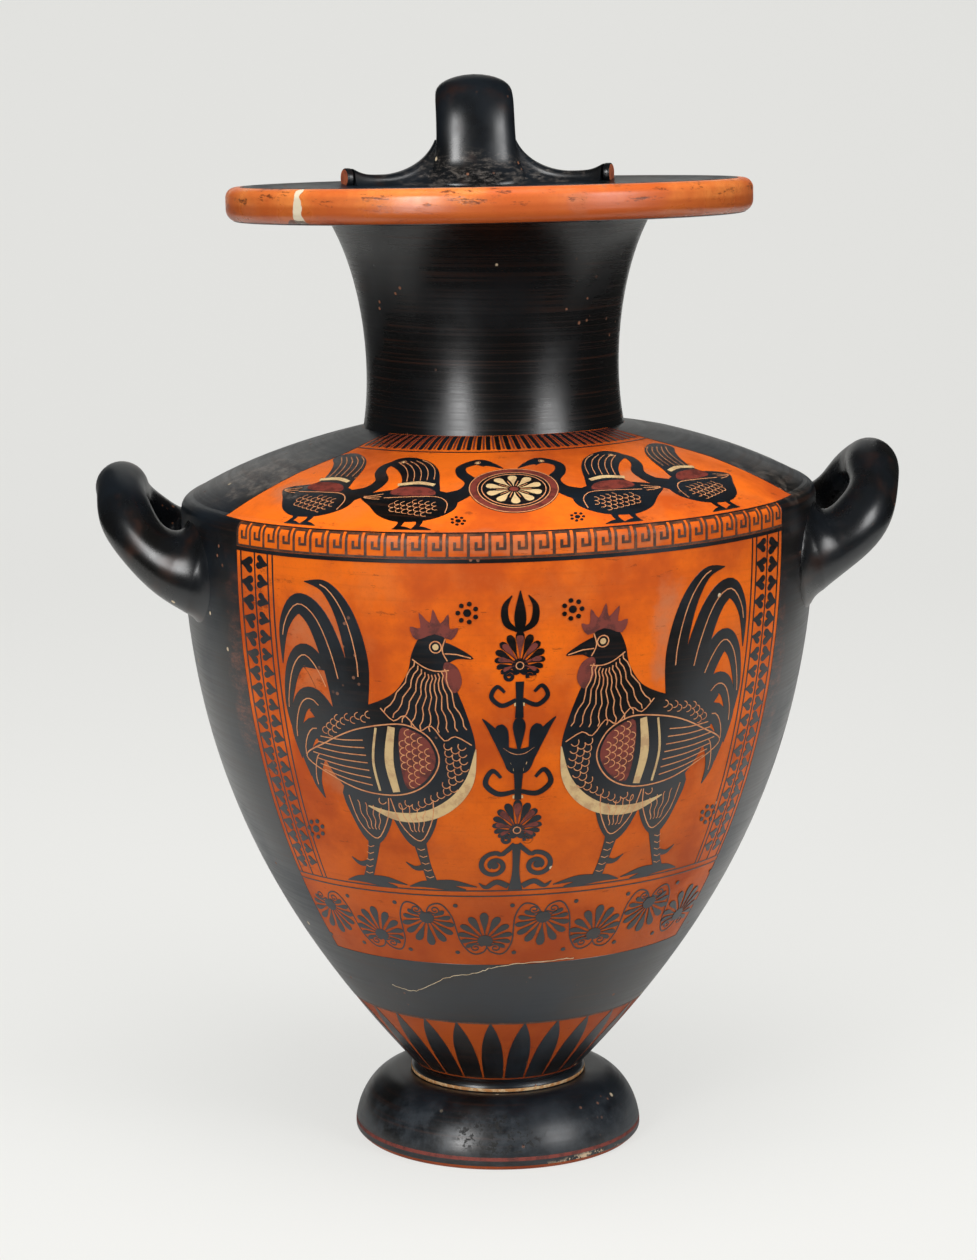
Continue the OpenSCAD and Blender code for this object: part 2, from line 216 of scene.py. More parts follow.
def seat_shift(point, r):
    """How far the shoulder gives way near the neck, whose seat is cut at a slant and set off the middle."""
    near = 1 - smooth_step(NECK_R, SEAT_R, r)
    return Vector((-NECK_OFF, 0, -point[1] * tan(NECK_LEAN) - point[0] * tan(NECK_RIGHT))) * near


# Small workshop helpers around Blender's own tools.

def hex_colour(code):
    """Linear colour of an sRGB hex value."""
    parts = [int(code.lstrip("#")[i:i + 2], 16) / 255 for i in (0, 2, 4)]
    return [p / 12.92 if p <= 0.04045 else ((p + 0.055) / 1.055) ** 2.4 for p in parts] + [1.0]


def add_node(tree, kind, inputs=None, **settings):
    """Add a node with its settings; an input takes a value or the socket it is linked from."""
    made = tree.nodes.new(kind)
    for key, value in settings.items():
        setattr(made, key, value)
    for key, value in (inputs or {}).items():
        if isinstance(value, bpy.types.NodeSocket):
            tree.links.new(value, made.inputs[key])
        else:
            made.inputs[key].default_value = value
    return made


def pick(*pieces):
    """Select only these pieces and make the first one active."""
    bpy.ops.object.select_all(action="DESELECT")
    for piece in pieces:
        piece.select_set(True)
    bpy.context.view_layer.objects.active = pieces[0]


def edit(piece, *steps):
    """Run edit-mode steps on everything in one piece."""
    pick(piece)
    bpy.ops.object.mode_set(mode="EDIT")
    bpy.ops.mesh.select_all(action="SELECT")
    for step in steps:
        step()
    bpy.ops.object.mode_set(mode="OBJECT")


def name_piece(piece, name):
    """Name a piece and its mesh."""
    piece.name = piece.data.name = name
    return piece


def finish_piece(piece, material, replaces=(), angle=40):
    """Give a finished piece its material, its smooth faces and its body."""
    piece.data.materials.clear()
    piece.data.materials.append(material)
    if angle:
        pick(piece)
        bpy.ops.object.shade_smooth_by_angle(angle=radians(angle))
    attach(piece, BODY)
    if replaces:
        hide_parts(*replaces)
    return piece


def lathe(name, outline, place=None, steps=192):
    """Throw a piece: an outline in the X-Z plane, spun round Z and closed."""
    mesh = bpy.data.meshes.new(name)
    closed = outline[0][0] > 0.01 or outline[-1][0] > 0.01
    count = len(outline)
    edges = [(i, i + 1) for i in range(count - 1)] + ([(count - 1, 0)] if closed else [])
    mesh.from_pydata([(r * MM, 0, z * MM) for r, z in outline], edges, [])
    piece = bpy.data.objects.new(name, mesh)
    bpy.context.scene.collection.objects.link(piece)
    edit(piece,
         lambda: bpy.ops.mesh.spin(steps=steps, angle=2 * pi, center=(0, 0, 0), axis=(0, 0, 1)),
         lambda: bpy.ops.mesh.select_all(action="SELECT"),
         lambda: bpy.ops.mesh.remove_doubles(threshold=0.00002),
         lambda: bpy.ops.mesh.normals_make_consistent(inside=False))
    if place is not None:
        move = Matrix.Scale(MM, 4) @ place @ Matrix.Scale(1 / MM, 4)
        mesh.transform(move)
    return piece


def coat(side, out=1, lift=0.14, sunk=0.08):
    """The outline of a thin coat of slip over a stretch of wall; out is 1 where the wall's left is its outside."""
    return moved_in(side, out * lift, out * lift) + moved_in(side, -out * sunk, -out * sunk)[::-1]


def between(side, low, high):
    """The stretch of an outline between two heights, cut at both."""
    kept = []
    for a, b in zip(side, side[1:]):
        if low <= a[1] <= high:
            kept.append(a)
        for z in sorted((low, high), reverse=a[1] > b[1]):
            if min(a[1], b[1]) < z < max(a[1], b[1]):
                kept.append((a[0] + (b[0] - a[0]) * (z - a[1]) / (b[1] - a[1]), z))
    return kept


def plates(name, outlines, half=0.1, overlap=False):
    """Closed flat outlines cut out as thin plates; each is its own plate where they overlap."""
    groups = [[o] for o in outlines] if overlap else [outlines]
    made = []
    for i, group in enumerate(groups):
        curve = bpy.data.curves.new(name, "CURVE")
        curve.dimensions, curve.fill_mode, curve.extrude = "2D", "BOTH", half
        for points in group:
            spline = curve.splines.new("POLY")
            spline.points.add(len(points) - 1)
            for slot, (x, y) in zip(spline.points, points):
                slot.co = (x, y, 0, 1)
            spline.use_cyclic_u = True
        plate = converted(name, curve)
        for v in plate.data.vertices:
            v.co.z += 0.002 * i
        made.append(plate)
    return joined(name, made)


def threads(name, lines, half=0.08):
    """Needle lines as thin flat ribbons; a line is its points and its width."""
    curve = bpy.data.curves.new(name, "CURVE")
    curve.dimensions, curve.bevel_depth, curve.bevel_resolution = "3D", 1.0, 0
    curve.use_fill_caps = True
    for points, width in lines:
        spline = curve.splines.new("POLY")
        spline.points.add(len(points) - 1)
        for slot, (x, y) in zip(spline.points, points):
            slot.co, slot.radius = (x, y, 0, 1), width / 2
    piece = converted(name, curve)
    for v in piece.data.vertices:
        v.co.z = max(-half, min(half, v.co.z))
    return piece


def converted(name, curve):
    """A curve made into a mesh piece."""
    piece = bpy.data.objects.new(name, curve)
    bpy.context.scene.collection.objects.link(piece)
    pick(piece)
    bpy.ops.object.convert(target="MESH")
    return name_piece(bpy.context.view_layer.objects.active, name)


def joined(name, pieces):
    """Several pieces made one."""
    pick(*pieces)
    if len(pieces) > 1:
        bpy.ops.object.join()
    return name_piece(bpy.context.view_layer.objects.active, name)


def cut_grid(piece, step_x, step_y):
    """Cut a flat plate into small cells, so that it can follow a curved wall, with finer rows over the seam's edge."""
    xs = [v.co.x for v in piece.data.vertices]
    ys = [v.co.y for v in piece.data.vertices]
    cuts = [((x, 0, 0), (1, 0, 0)) for x in ticks(min(xs), max(xs), step_x)]
    rows = ticks(min(ys), max(ys), step_y) + [EDGE_ROW * (i - 0.5) for i in range(EDGE_ROWS)]
    cuts += [((0, y, 0), (0, 1, 0)) for y in rows if min(ys) < y < max(ys)]
    pick(piece)
    bpy.ops.object.mode_set(mode="EDIT")
    for place, normal in cuts:
        bpy.ops.mesh.select_all(action="SELECT")
        bpy.ops.mesh.bisect(plane_co=place, plane_no=normal)
    bpy.ops.object.mode_set(mode="OBJECT")
    return piece


def ticks(low, high, step):
    """Evenly spaced cuts between two ends."""
    count = int((high - low) / step)
    return [low + (high - low) * (i + 1) / (count + 1) for i in range(count)]


def sheet(points, turn=0.0, rise=0.0, flip=1):
    """A drawing in true millimetres, set on the painting sheet: x is the turn times PANEL_R, y the skin distance."""
    out = []
    for x, y in points:
        r = skin_at(UP_SKIN if rise + y >= 0 else DOWN_SKIN, rise + y)[0]
        out.append(((turn + flip * x / r) * PANEL_R, rise + y))
    return out


def lay(piece, lift=0.05):
    """Lay a flat plate from the painting sheet on the jar's wall."""
    normals = []
    for v in piece.data.vertices:
        x, y, z = v.co
        point, normal = skin_point(x / PANEL_R, y, lift + z)
        v.co = point * MM
        normals.append(normal)
    piece.data.update()
    for face in piece.data.polygons:
        face.use_smooth = True
    piece.data.normals_split_custom_set_from_vertices(normals)
    return piece


def painted(name, outlines, material, lift=0.05, overlap=False, cell=(5, 6)):
    """Brushwork: plates from the painting sheet, cut small, laid on the wall and finished."""
    piece = plates(name, outlines, overlap=overlap)
    if cell:
        cut_grid(piece, *cell)
    return finish_piece(lay(piece, lift), finish(material), angle=0)


def scratched(name, lines, lift):
    """Needle work: thin lines on the painting sheet, laid over the slip."""
    return finish_piece(lay(threads(name, lines), lift), finish("needle"), angle=0)


def smooth_loop(points, steps=6):
    """A closed smooth line through points."""
    out, n = [], len(points)
    for i in range(n):
        p = [points[(i + k - 1) % n] for k in range(4)]
        out += [spline_point(p, j / steps) for j in range(steps)]
    return out


def smooth_line(points, steps=6):
    """An open smooth line through points."""
    ends = [points[0]] + list(points) + [points[-1]]
    out = []
    for i in range(len(points) - 1):
        out += [spline_point(ends[i:i + 4], j / steps) for j in range(steps)]
    return out + [points[-1]]


def spline_point(p, t):
    """A point of the smooth curve between the second and third of four points."""
    return tuple(0.5 * (2 * p[1][k] + (p[2][k] - p[0][k]) * t
                        + (2 * p[0][k] - 5 * p[1][k] + 4 * p[2][k] - p[3][k]) * t * t
                        + (3 * p[1][k] - p[0][k] - 3 * p[2][k] + p[3][k]) * t ** 3) for k in range(len(p[0])))


def brush(points, widths, steps=6):
    """The outline of one brush stroke along a smooth line, with a width at each given point."""
    line = smooth_line([(*p, w) for p, w in zip(points, widths)], steps)
    left, right = [], []
    for i, (x, y, w) in enumerate(line):
        a, b = line[max(i - 1, 0)], line[min(i + 1, len(line) - 1)]
        dx, dy = b[0] - a[0], b[1] - a[1]
        size = hypot(dx, dy) or 1.0
        w = max(w, 0.25) / 2
        left.append((x - dy / size * w, y + dx / size * w))
        right.append((x + dy / size * w, y - dx / size * w))
    return left + right[::-1]


def ring(x, y, radius, count):
    """Points round a circle."""
    return [(x + radius * cos(2 * pi * i / count), y + radius * sin(2 * pi * i / count)) for i in range(count)]


def inside(point, loop):
    """Whether a point lies in a closed outline."""
    x, y = point
    hit = False
    for (x1, y1), (x2, y2) in zip(loop, loop[1:] + loop[:1]):
        if (y1 > y) != (y2 > y) and x < (x2 - x1) * (y - y1) / (y2 - y1) + x1:
            hit = not hit
    return hit


def box(x0, y0, x1, y1):
    """The corners of an upright rectangle."""
    return [(x0, y0), (x1, y0), (x1, y1), (x0, y1)]


def mitred(points, width):
    """The outline of a square-cornered stroke along a line of points."""
    left, right, last = [], [], len(points) - 1
    for i, p in enumerate(points):
        a, b = points[max(i - 1, 0)], points[min(i + 1, last)]
        u = unit_of(p, b) if i < last else unit_of(a, p)
        w = unit_of(a, p) if i else u
        n = (-(u[1] + w[1]), u[0] + w[0])
        k = width / (n[0] ** 2 + n[1] ** 2)
        left.append((p[0] + n[0] * k, p[1] + n[1] * k))
        right.append((p[0] - n[0] * k, p[1] - n[1] * k))
    return left + right[::-1]


def unit_of(a, b):
    """The direction from one point to another."""
    size = hypot(b[0] - a[0], b[1] - a[1]) or 1.0
    return (b[0] - a[0]) / size, (b[1] - a[1]) / size


# Materials, each named for the real finish. Every pattern takes the real size of its features in millimetres;
# grain, grit and streaks finer than about a millimetre are drawn that coarse, so that they show.

def new_material(name):
    """A material with its shader, and the place on the jar that its patterns read."""
    material = bpy.data.materials.new(name)
    material.use_nodes = True
    tree = material.node_tree
    tree.nodes.clear()
    output = add_node(tree, "ShaderNodeOutputMaterial")
    shader = add_node(tree, "ShaderNodeBsdfPrincipled")
    tree.links.new(shader.outputs[0], output.inputs["Surface"])
    place = add_node(tree, "ShaderNodeTexCoord").outputs["Object"]
    return material, tree, shader, place


def noise(tree, place, size, detail=3.0, roughness=0.55):
    """A noise value; size is that of its features, one for all directions or one for each axis."""
    if isinstance(size, tuple):
        place = add_node(tree, "ShaderNodeMapping", {"Vector": place, "Scale": [1 / (MM * each) for each in size]})
        place, size = place.outputs[0], 1 / MM
    return add_node(tree, "ShaderNodeTexNoise",
                    {"Vector": place, "Scale": 1 / (MM * size), "Detail": detail, "Roughness": roughness}).outputs[0]


def ramp(tree, value, low, high, to_low=0.0, to_high=1.0):
    """A value stretched between two limits."""
    return add_node(tree, "ShaderNodeMapRange", {"Value": value, "From Min": low, "From Max": high,
                                                 "To Min": to_low, "To Max": to_high},
                    interpolation_type="SMOOTHSTEP").outputs[0]


def blend(tree, factor, first, second):
    """Two colours mixed."""
    made = add_node(tree, "ShaderNodeMix", data_type="RGBA")
    for socket, value in ((made.inputs["Factor"], factor), (made.inputs[6], first), (made.inputs[7], second)):
        if isinstance(value, bpy.types.NodeSocket):
            tree.links.new(value, socket)
        else:
            socket.default_value = value
    return made.outputs[2]


def times(tree, a, b, operation="MULTIPLY"):
    """Two values multiplied, or put together by another operation."""
    return add_node(tree, "ShaderNodeMath", {0: a, 1: b}, operation=operation).outputs[0]


def patch(tree, place, centre, reach, wobble=0.5):
    """One soft patch round a point, in millimetres, with a ragged edge."""
    move = add_node(tree, "ShaderNodeMapping", {
        "Vector": place, "Location": [-c / r for c, r in zip(centre, reach)], "Scale": [1 / (MM * r) for r in reach]})
    distance = add_node(tree, "ShaderNodeVectorMath", {0: move.outputs[0]}, operation="LENGTH").outputs["Value"]
    ragged = noise(tree, place, 11.11, 5)
    return ramp(tree, times(tree, distance, times(tree, ragged, wobble * 2), "ADD"), 1.0 + wobble, 0.55 + wobble)


def burnished_clay(colours, name="burnished orange clay", lip=False):
    """Iron-rich clay, turned, burnished and fired: a warm orange with cloudy deeper tones, level turning marks,
    dull pinkish places where the skin has worn, a pale band along the shoulder's edge that is partly wear and partly
    painted sheen, and dark scuffs; the lip is the glossiest, with painted shade on the lower half of its face."""
    material, tree, shader, place = new_material(name)
    broad = ramp(tree, noise(tree, place, 66.67, 5, 0.62), 0.38, 0.62)
    elsewhere = add_node(tree, "ShaderNodeMapping", {"Vector": place, "Location": (3, 1, 0)}).outputs[0]
    dull = ramp(tree, noise(tree, elsewhere, 38.46, 6, 0.68), 0.5, 0.68)
    marks = noise(tree, place, (71.43, 71.43, 1.786), 4)
    grain = noise(tree, place, 1.111, 3)
    bright, deep = (colours.lip_clay, colours.lip_deep) if lip else (colours.clay, colours.clay_deep)
    colour = blend(tree, broad, hex_colour(bright), hex_colour(deep))
    colour = blend(tree, times(tree, dull, 0.22 if lip else 0.35), colour, hex_colour("#c46a34"))
    colour = blend(tree, times(tree, ramp(tree, marks, 0.5, 0.75), 0.2), colour, hex_colour("#a24a1c"))
    # the worn places sit left in the picture, at its right edge and on the shoulder; the long pale band along the
    # shoulder's edge is partly wear and partly a painted sheen
    worn = None
    for centre, reach in (((27, -114, 434), (6, 6, 9)), ((-108, -46, 430), (9, 12, 4))) if lip else (
            ((-84, -108, 246), (20, 30, 34)), ((-70, -112, 205), (16, 30, 30)), ((64, -120, 256), (12, 20, 30)),
            ((62, -96, 318), (22, 16, 8)), ((-95, -80, 312), (24, 20, 8)), ((0, -140, 298), (126, 18, 5.5))):
        spot = patch(tree, place, centre, reach)
        worn = spot if worn is None else times(tree, worn, spot, "MAXIMUM")
    cloudy = ramp(tree, noise(tree, place, 29.41, 6, 0.65), 0.3, 0.62)
    colour = blend(tree, times(tree, times(tree, worn, cloudy), 0.85), colour, hex_colour("#b76c46"))
    if not lip:
        # dark smudges in the panel's upper corner and by its left edge
        soot = noise(tree, place, (9.091, 9.091, 5.263), 8, 0.8)
        for centre, reach in (((-98, -100, 270), (22, 26, 12)), ((-86, -110, 232), (12, 20, 16))):
            smudge = times(tree, patch(tree, place, centre, reach), ramp(tree, soot, 0.52, 0.62))
            colour = blend(tree, times(tree, smudge, 0.6), colour, hex_colour("#5c2e1c"))
    # scuffs: dark, short and level, strongest on the lip
    scuff = noise(tree, place, (16.67, 16.67, 3.846), 7, 0.78)
    scuff = times(tree, ramp(tree, scuff, 0.555 if lip else 0.61, 0.62 if lip else 0.65), 0.85 if lip else 0.45)
    colour = blend(tree, scuff, colour, hex_colour("#4a2616"))
    # small places where the burnished skin has flaked off
    flake = ramp(tree, noise(tree, place, 14.29, 6, 0.75), 0.68, 0.72)
    colour = blend(tree, times(tree, flake, 0.6), colour, hex_colour("#a0654c"))
    colour = blend(tree, times(tree, ramp(tree, grain, 0.5, 0.8), 0.25), colour, hex_colour("#9c4722"))
    if not lip:
        # low on the wall the colour turns darker and browner, more so towards the foot
        height_z = add_node(tree, "ShaderNodeSeparateXYZ", {0: place}).outputs[2]
        colour = blend(tree, ramp(tree, height_z, 240 * MM, 60 * MM, 0.0, 0.74), colour, hex_colour("#6e2f18"))
    if lip:
        # painted shade: the lower half of the face, which turns down away from the light, is painted darker
        level = add_node(tree, "ShaderNodeVectorMath", {0: place, 1: tuple(NECK_FRAME.col[2].xyz)},
                         operation="DOT_PRODUCT").outputs["Value"]
        middle = NECK_FRAME.col[2].xyz.dot(NECK_FRAME @ Vector((0, 0, LIP_Z + 8.0))) * MM
        colour = blend(tree, ramp(tree, level, middle + 1.2 * MM, middle - 1.2 * MM, 0.0, 0.7), colour,
                       hex_colour("#a44a1b"))
        # an old break in the lip, filled with plaster
        fill = ramp(tree, patch(tree, place, (-89.5, -76.5, 432), (3.4, 3.4, 15), 1.1), 0.25, 0.45)
        colour = blend(tree, fill, colour, hex_colour("#d6cab0"))
        edge = ramp(tree, patch(tree, place, (-92, -74, 424), (9, 9, 3.4), 0.7), 0.3, 0.5)
        colour = blend(tree, times(tree, edge, 0.8), colour, hex_colour("#4a3226"))
    tree.links.new(colour, shader.inputs["Base Color"])
    shader.inputs["Specular IOR Level"].default_value = 0.5 if lip else 0.09
    low, high = (0.24, 0.36) if lip else (0.34, 0.5)
    rough = times(tree, ramp(tree, broad, 0, 1, low, high), times(tree, worn, 0.18), "ADD")
    tree.links.new(rough, shader.inputs["Roughness"])
    height = times(tree, times(tree, marks, 0.7), times(tree, times(tree, grain, 0.3), scuff, "SUBTRACT"), "ADD")
    bump = add_node(tree, "ShaderNodeBump", {"Height": height, "Strength": 0.14, "Distance": 0.4 * MM})
    tree.links.new(bump.outputs[0], shader.inputs["Normal"])
    return material


def black_gloss(colours, name="black gloss slip", cool=1.0, streaky=True, shine=0.0, chipped=False):
    """Fine clay slip fired to a black glass skin: a deep black with a blue-grey bloom where it is thick, brown where
    the brush left it thin, level brush streaks in its gloss, pale pits and chips."""
    material, tree, shader, place = new_material(name)
    streak = noise(tree, place, (111.1, 111.1, 0.9091) if streaky else 14.29, 5)
    cloud = noise(tree, place, 50, 5)
    fine = noise(tree, place, 3.846, 4)
    colour = blend(tree, times(tree, ramp(tree, cloud, 0.34, 0.66), cool), hex_colour(colours.gloss),
                   hex_colour(colours.gloss_grey))
    thin = times(tree, ramp(tree, streak, 0.50, 0.74), ramp(tree, cloud, 0.62, 0.42))
    colour = blend(tree, times(tree, thin, 0.75 - 0.15 * cool), colour, hex_colour("#341c11"))
    # pits and chips, 1 to 2 mm across and about 5 and 16 mm apart, gathered in a few places
    specks = []
    for apart, outer, inner, gathered, low, high in ((4.762, 0.19, 0.12, noise(tree, place, 33.33, 3), 0.60, 0.66),
                                                     (16.13, 0.075, 0.05, noise(tree, place, 83.33, 2), 0.52, 0.58)):
        cells = add_node(tree, "ShaderNodeTexVoronoi", {"Vector": place, "Scale": 1 / (MM * apart)})
        specks.append(times(tree, ramp(tree, cells.outputs["Distance"], outer, inner),
                            ramp(tree, gathered, low, high)))
    pit, chip = specks
    colour = blend(tree, times(tree, pit, 0.75), colour, hex_colour("#8b583b"))
    colour = blend(tree, chip, colour, hex_colour("#c7b496"))
    if chipped:
        # grey on the shoulder beside the picture, partly rubbed wear and partly a painted sheen, and thinned to brown
        # along the panel's edges
        scrape = noise(tree, place, (8.333, 8.333, 3.333), 8, 0.82)
        for centre, reach, tone, amount in (((-100, -40, 312), (40, 50, 15), "#7d7268", 0.5),
                                            ((112, -52, 311), (28, 36, 13), "#7d7268", 0.4),
                                            ((-115, -74, 240), (9, 13, 64), "#6d3b26", 0.75),
                                            ((115, -74, 236), (8, 12, 60), "#6d3b26", 0.6)):
            rubbed = times(tree, patch(tree, place, centre, reach, 0.6), ramp(tree, scrape, 0.44, 0.64))
            colour = blend(tree, times(tree, rubbed, amount), colour, hex_colour(tone))
        # a mottled grey over the foot, with fine pits
        foot_grey = times(tree, patch(tree, place, (0, 0, 12), (100, 100, 22), 0.4),
                     ramp(tree, noise(tree, place, 13.33, 7, 0.75), 0.38, 0.66))
        colour = blend(tree, times(tree, foot_grey, 0.55), colour, hex_colour("#3c4248"))
        flaked = times(tree, patch(tree, place, (36, -54, 0.0), (30, 26, 5.5), 0.4),
                       ramp(tree, noise(tree, place, 10.53, 6, 0.8), 0.50, 0.54))
        colour = blend(tree, flaked, colour, hex_colour("#b9a184"))
        pitted = times(tree, patch(tree, place, (-2, -60, 14), (26, 18, 11), 0.6),
                       ramp(tree, noise(tree, place, 2.632, 4, 0.7), 0.52, 0.58))
        colour = blend(tree, pitted, colour, hex_colour("#040403"))
    if not streaky:
        # rubbed at the strap's foot and along the arms
        scrape = noise(tree, place, (6.25, 6.25, 2.381), 8, 0.85)
        rubbed = times(tree, patch(tree, place, (0, 90, 440), (56, 26, 13), 0.5), ramp(tree, scrape, 0.48, 0.66))
        colour = blend(tree, times(tree, rubbed, 0.5), colour, hex_colour("#6b635c"))
    tree.links.new(colour, shader.inputs["Base Color"])
    rough = times(tree, ramp(tree, streak, 0.34, 0.68, 0.28 - shine, 0.34 - shine),
                  ramp(tree, cloud, 0.42, 0.72, 0.0, 0.12), "ADD")
    rough = times(tree, rough, times(tree, times(tree, pit, chip, "MAXIMUM"), 0.35), "ADD")
    if chipped:
        rough = times(tree, rough, times(tree, times(tree, foot_grey, 0.1), times(tree, pitted, 0.3), "ADD"), "ADD")
    tree.links.new(rough, shader.inputs["Roughness"])
    shader.inputs["IOR"].default_value = 1.52
    dents = times(tree, times(tree, pit, chip, "MAXIMUM"), -0.6)
    height = times(tree, times(tree, times(tree, streak, 0.12), times(tree, fine, 0.3), "ADD"), dents, "ADD")
    bump = add_node(tree, "ShaderNodeBump", {"Height": height, "Strength": 0.16, "Distance": 0.4 * MM})
    tree.links.new(bump.outputs[0], shader.inputs["Normal"])
    return material


def matt_colour(name, main, other, size, roughness):
    """A matt, thinly laid colour, worn to another in patches of a size in millimetres."""
    material, tree, shader, place = new_material(name)
    worn = ramp(tree, noise(tree, place, size, 5, 0.7), 0.45, 0.62)
    colour = blend(tree, worn, hex_colour(main), hex_colour(other))
    tree.links.new(colour, shader.inputs["Base Color"])
    shader.inputs["Roughness"].default_value = roughness
    bump = add_node(tree, "ShaderNodeBump", {"Height": worn, "Strength": 0.15, "Distance": 0.3 * MM})
    tree.links.new(bump.outputs[0], shader.inputs["Normal"])
    return material


class HydriaColours(bpy.types.PropertyGroup):
    """Colours of the fired finishes."""
    clay: StringProperty(name="Clay", description="Bright tone of the fired clay", default="#de6718")
    clay_deep: StringProperty(name="Deep clay", description="Deeper tone of the mottled clay", default="#b24a18")
    lip_clay: StringProperty(name="Lip clay", description="Bright tone of the lip's face", default="#de823f")
    lip_deep: StringProperty(name="Deep lip clay", description="Deeper tone of the lip's face", default="#c05a25")
    gloss: StringProperty(name="Gloss", description="Tone of the thick black slip", default="#0a0908")
    gloss_grey: StringProperty(name="Grey gloss", description="Tone where the slip turns grey", default="#131a21")
    cream: StringProperty(name="Cream", description="Added white, aged to cream", default="#c4a878")
    red: StringProperty(name="Red", description="Added purple-red", default="#6e2c22")
    dilute: StringProperty(name="Dilute slip", description="Thinned slip of fine lines", default="#3d2519")
    backdrop: StringProperty(name="Backdrop", description="Paper behind the jar", default="#eaeae7")


class HydriaSizes(bpy.types.PropertyGroup):
    """Counts and sizes of the painted ornament."""
    rays: IntProperty(name="Rays", description="Rays round the base", default=28, min=12, max=48)
    leaves: IntProperty(name="Leaves", description="Ivy leaves in one column", default=20, min=8, max=40)
    palmettes: IntProperty(name="Palmettes", description="Palmettes under the panel", default=8, min=4, max=16)
    key_units: IntProperty(name="Keys", description="Units of the meander", default=31, min=10, max=60)
    tongues: IntProperty(name="Tongues", description="Black tongues at the neck", default=32, min=10, max=60)
    needle: FloatProperty(name="Needle line", description="Width of an incised line", default=0.5 * MM,
                          min=0.2 * MM, max=1.0 * MM, precision=4, unit="LENGTH")


FINISHES = {}


def finish(name):
    """A finish by its short name, made once."""
    if not FINISHES:
        colours = bpy.context.scene.hydria_colours
        FINISHES["clay"] = burnished_clay(colours)
        FINISHES["rim clay"] = burnished_clay(colours, "burnished clay of the lip", True)
        FINISHES["gloss"] = black_gloss(colours, chipped=True)
        # the neck fired blacker and is the shiniest; the pulled handles show no level streaks
        FINISHES["neck gloss"] = black_gloss(colours, "black gloss slip of the neck", 0.25, True, 0.05)
        FINISHES["handle gloss"] = black_gloss(colours, "black gloss slip on pulled clay", 0.6, False, 0.03)
        # fired clay left bare on the discs' ends, brick-brown from handling
        FINISHES["disc clay"] = matt_colour("worn clay of the discs", "#a4583a", "#84422c", 3.846, 0.55)
        # slip let down with water: a fine line that fires brown and half shiny
        FINISHES["dilute"] = matt_colour("thinned brown slip", colours.dilute, "#5e3822", 4.545, 0.5)
        # white clay laid over the slip: chalky, yellowed and patchy
        FINISHES["cream"] = matt_colour("added white, aged", colours.cream, "#b08f66", 6.667, 0.85)
        # ochre mixed with slip and laid over it: dull, and worn towards the black
        FINISHES["red"] = matt_colour("added purple red", colours.red, "#512019", 5.556, 0.7)
        # pale, dry clay in the scratch of the needle
        FINISHES["needle"] = matt_colour("clay bared by a needle", "#c98a5c", "#b87349", 3.333, 0.7)
        # ochre clay rubbed bare at the joint, with chalky white in its pores
        FINISHES["rubbed clay"] = matt_colour("rubbed clay with old lime", "#b27c48", "#d0b48a", 3.03, 0.6)
        # dead matt, dusty filling of the crack
        FINISHES["plaster"] = matt_colour("cream repair plaster", "#cdbb9c", "#b99f79", 3.846, 0.9)
    return FINISHES[name]


# Thrown and pulled parts.

def lean_wall(piece):
    """Slide a level-thrown stretch of the body's wall, so that its edges follow the leaning seam; what lies deeper
    than the skin only rises and falls with it."""
    hair, skin_depth = 0.001, 2.5
    for v in piece.data.vertices:
        x, y, z = v.co / MM
        r = hypot(x, y)
        if z < LEVEL_Z:
            continue
        s = skin_distance(min(z, SEAM_Z - hair))
        wall_r, _, out, _ = skin_at(DOWN_SKIN, s)
        if r < wall_r - skin_depth:
            v.co.z += MM * x * lean_at(z)
        else:
            v.co = skin_point(atan2(x, -y), s, (r - wall_r) * out)[0] * MM
            if z > SEAM_Z - 2 * hair:
                v.co.z += MM * (z - SEAM_Z)
    piece.data.update()


def seat_wall(piece):
    """Cut the shoulder's seat to the neck's slant, then lean it with all that stands on the seam."""
    for v in piece.data.vertices:
        place = v.co / MM
        v.co += MM * seat_shift(place, hypot(place.x, place.y))
    piece.data.transform(Matrix.Scale(MM, 4) @ SHOULDER_FRAME @ Matrix.Scale(1 / MM, 4))


def loft(name, rings, place):
    """A closed skin bridged through rings of points."""
    sides, count = len(rings[0]), len(rings)
    move = Matrix.Scale(MM, 4) @ place
    mesh = bpy.data.meshes.new(name)
    mesh.from_pydata([move @ Vector(p) for ring_points in rings for p in ring_points],
                     [(i * sides + k, i * sides + (k + 1) % sides) for i in range(count) for k in range(sides)], [])
    piece = bpy.data.objects.new(name, mesh)
    bpy.context.scene.collection.objects.link(piece)
    edit(piece,
         lambda: bpy.ops.mesh.bridge_edge_loops(),
         lambda: bpy.ops.mesh.select_all(action="SELECT"),
         lambda: bpy.ops.mesh.fill_holes(sides=0),
         lambda: bpy.ops.mesh.select_all(action="SELECT"),
         lambda: bpy.ops.mesh.normals_make_consistent(inside=False))
    if len(mesh.polygons) != (count - 1) * sides + 2:
        raise RuntimeError(f"{name}: the rings were not bridged in order")
    return piece


def to_wall(piece, sunk=2.5):
    """End a handle's roots inside the body's wall instead of in the hollow."""
    for v in piece.data.vertices:
        x, y, z = v.co / MM
        r, wall_r = hypot(x, y), skin_at(DOWN_SKIN, skin_distance(min(z, SEAM_Z - 0.1)))[0] - sunk
        if z < SEAM_Z and r < wall_r:
            v.co.x *= wall_r / r
            v.co.y *= wall_r / r
    piece.data.update()


def thrown(name, outline, material, nodes=(), place=None, after=None):
    """A thrown piece, shaped further by what comes after, and finished."""
    piece = lathe(name, outline, place)
    if after:
        after(piece)
    return finish_piece(piece, finish(material), nodes)


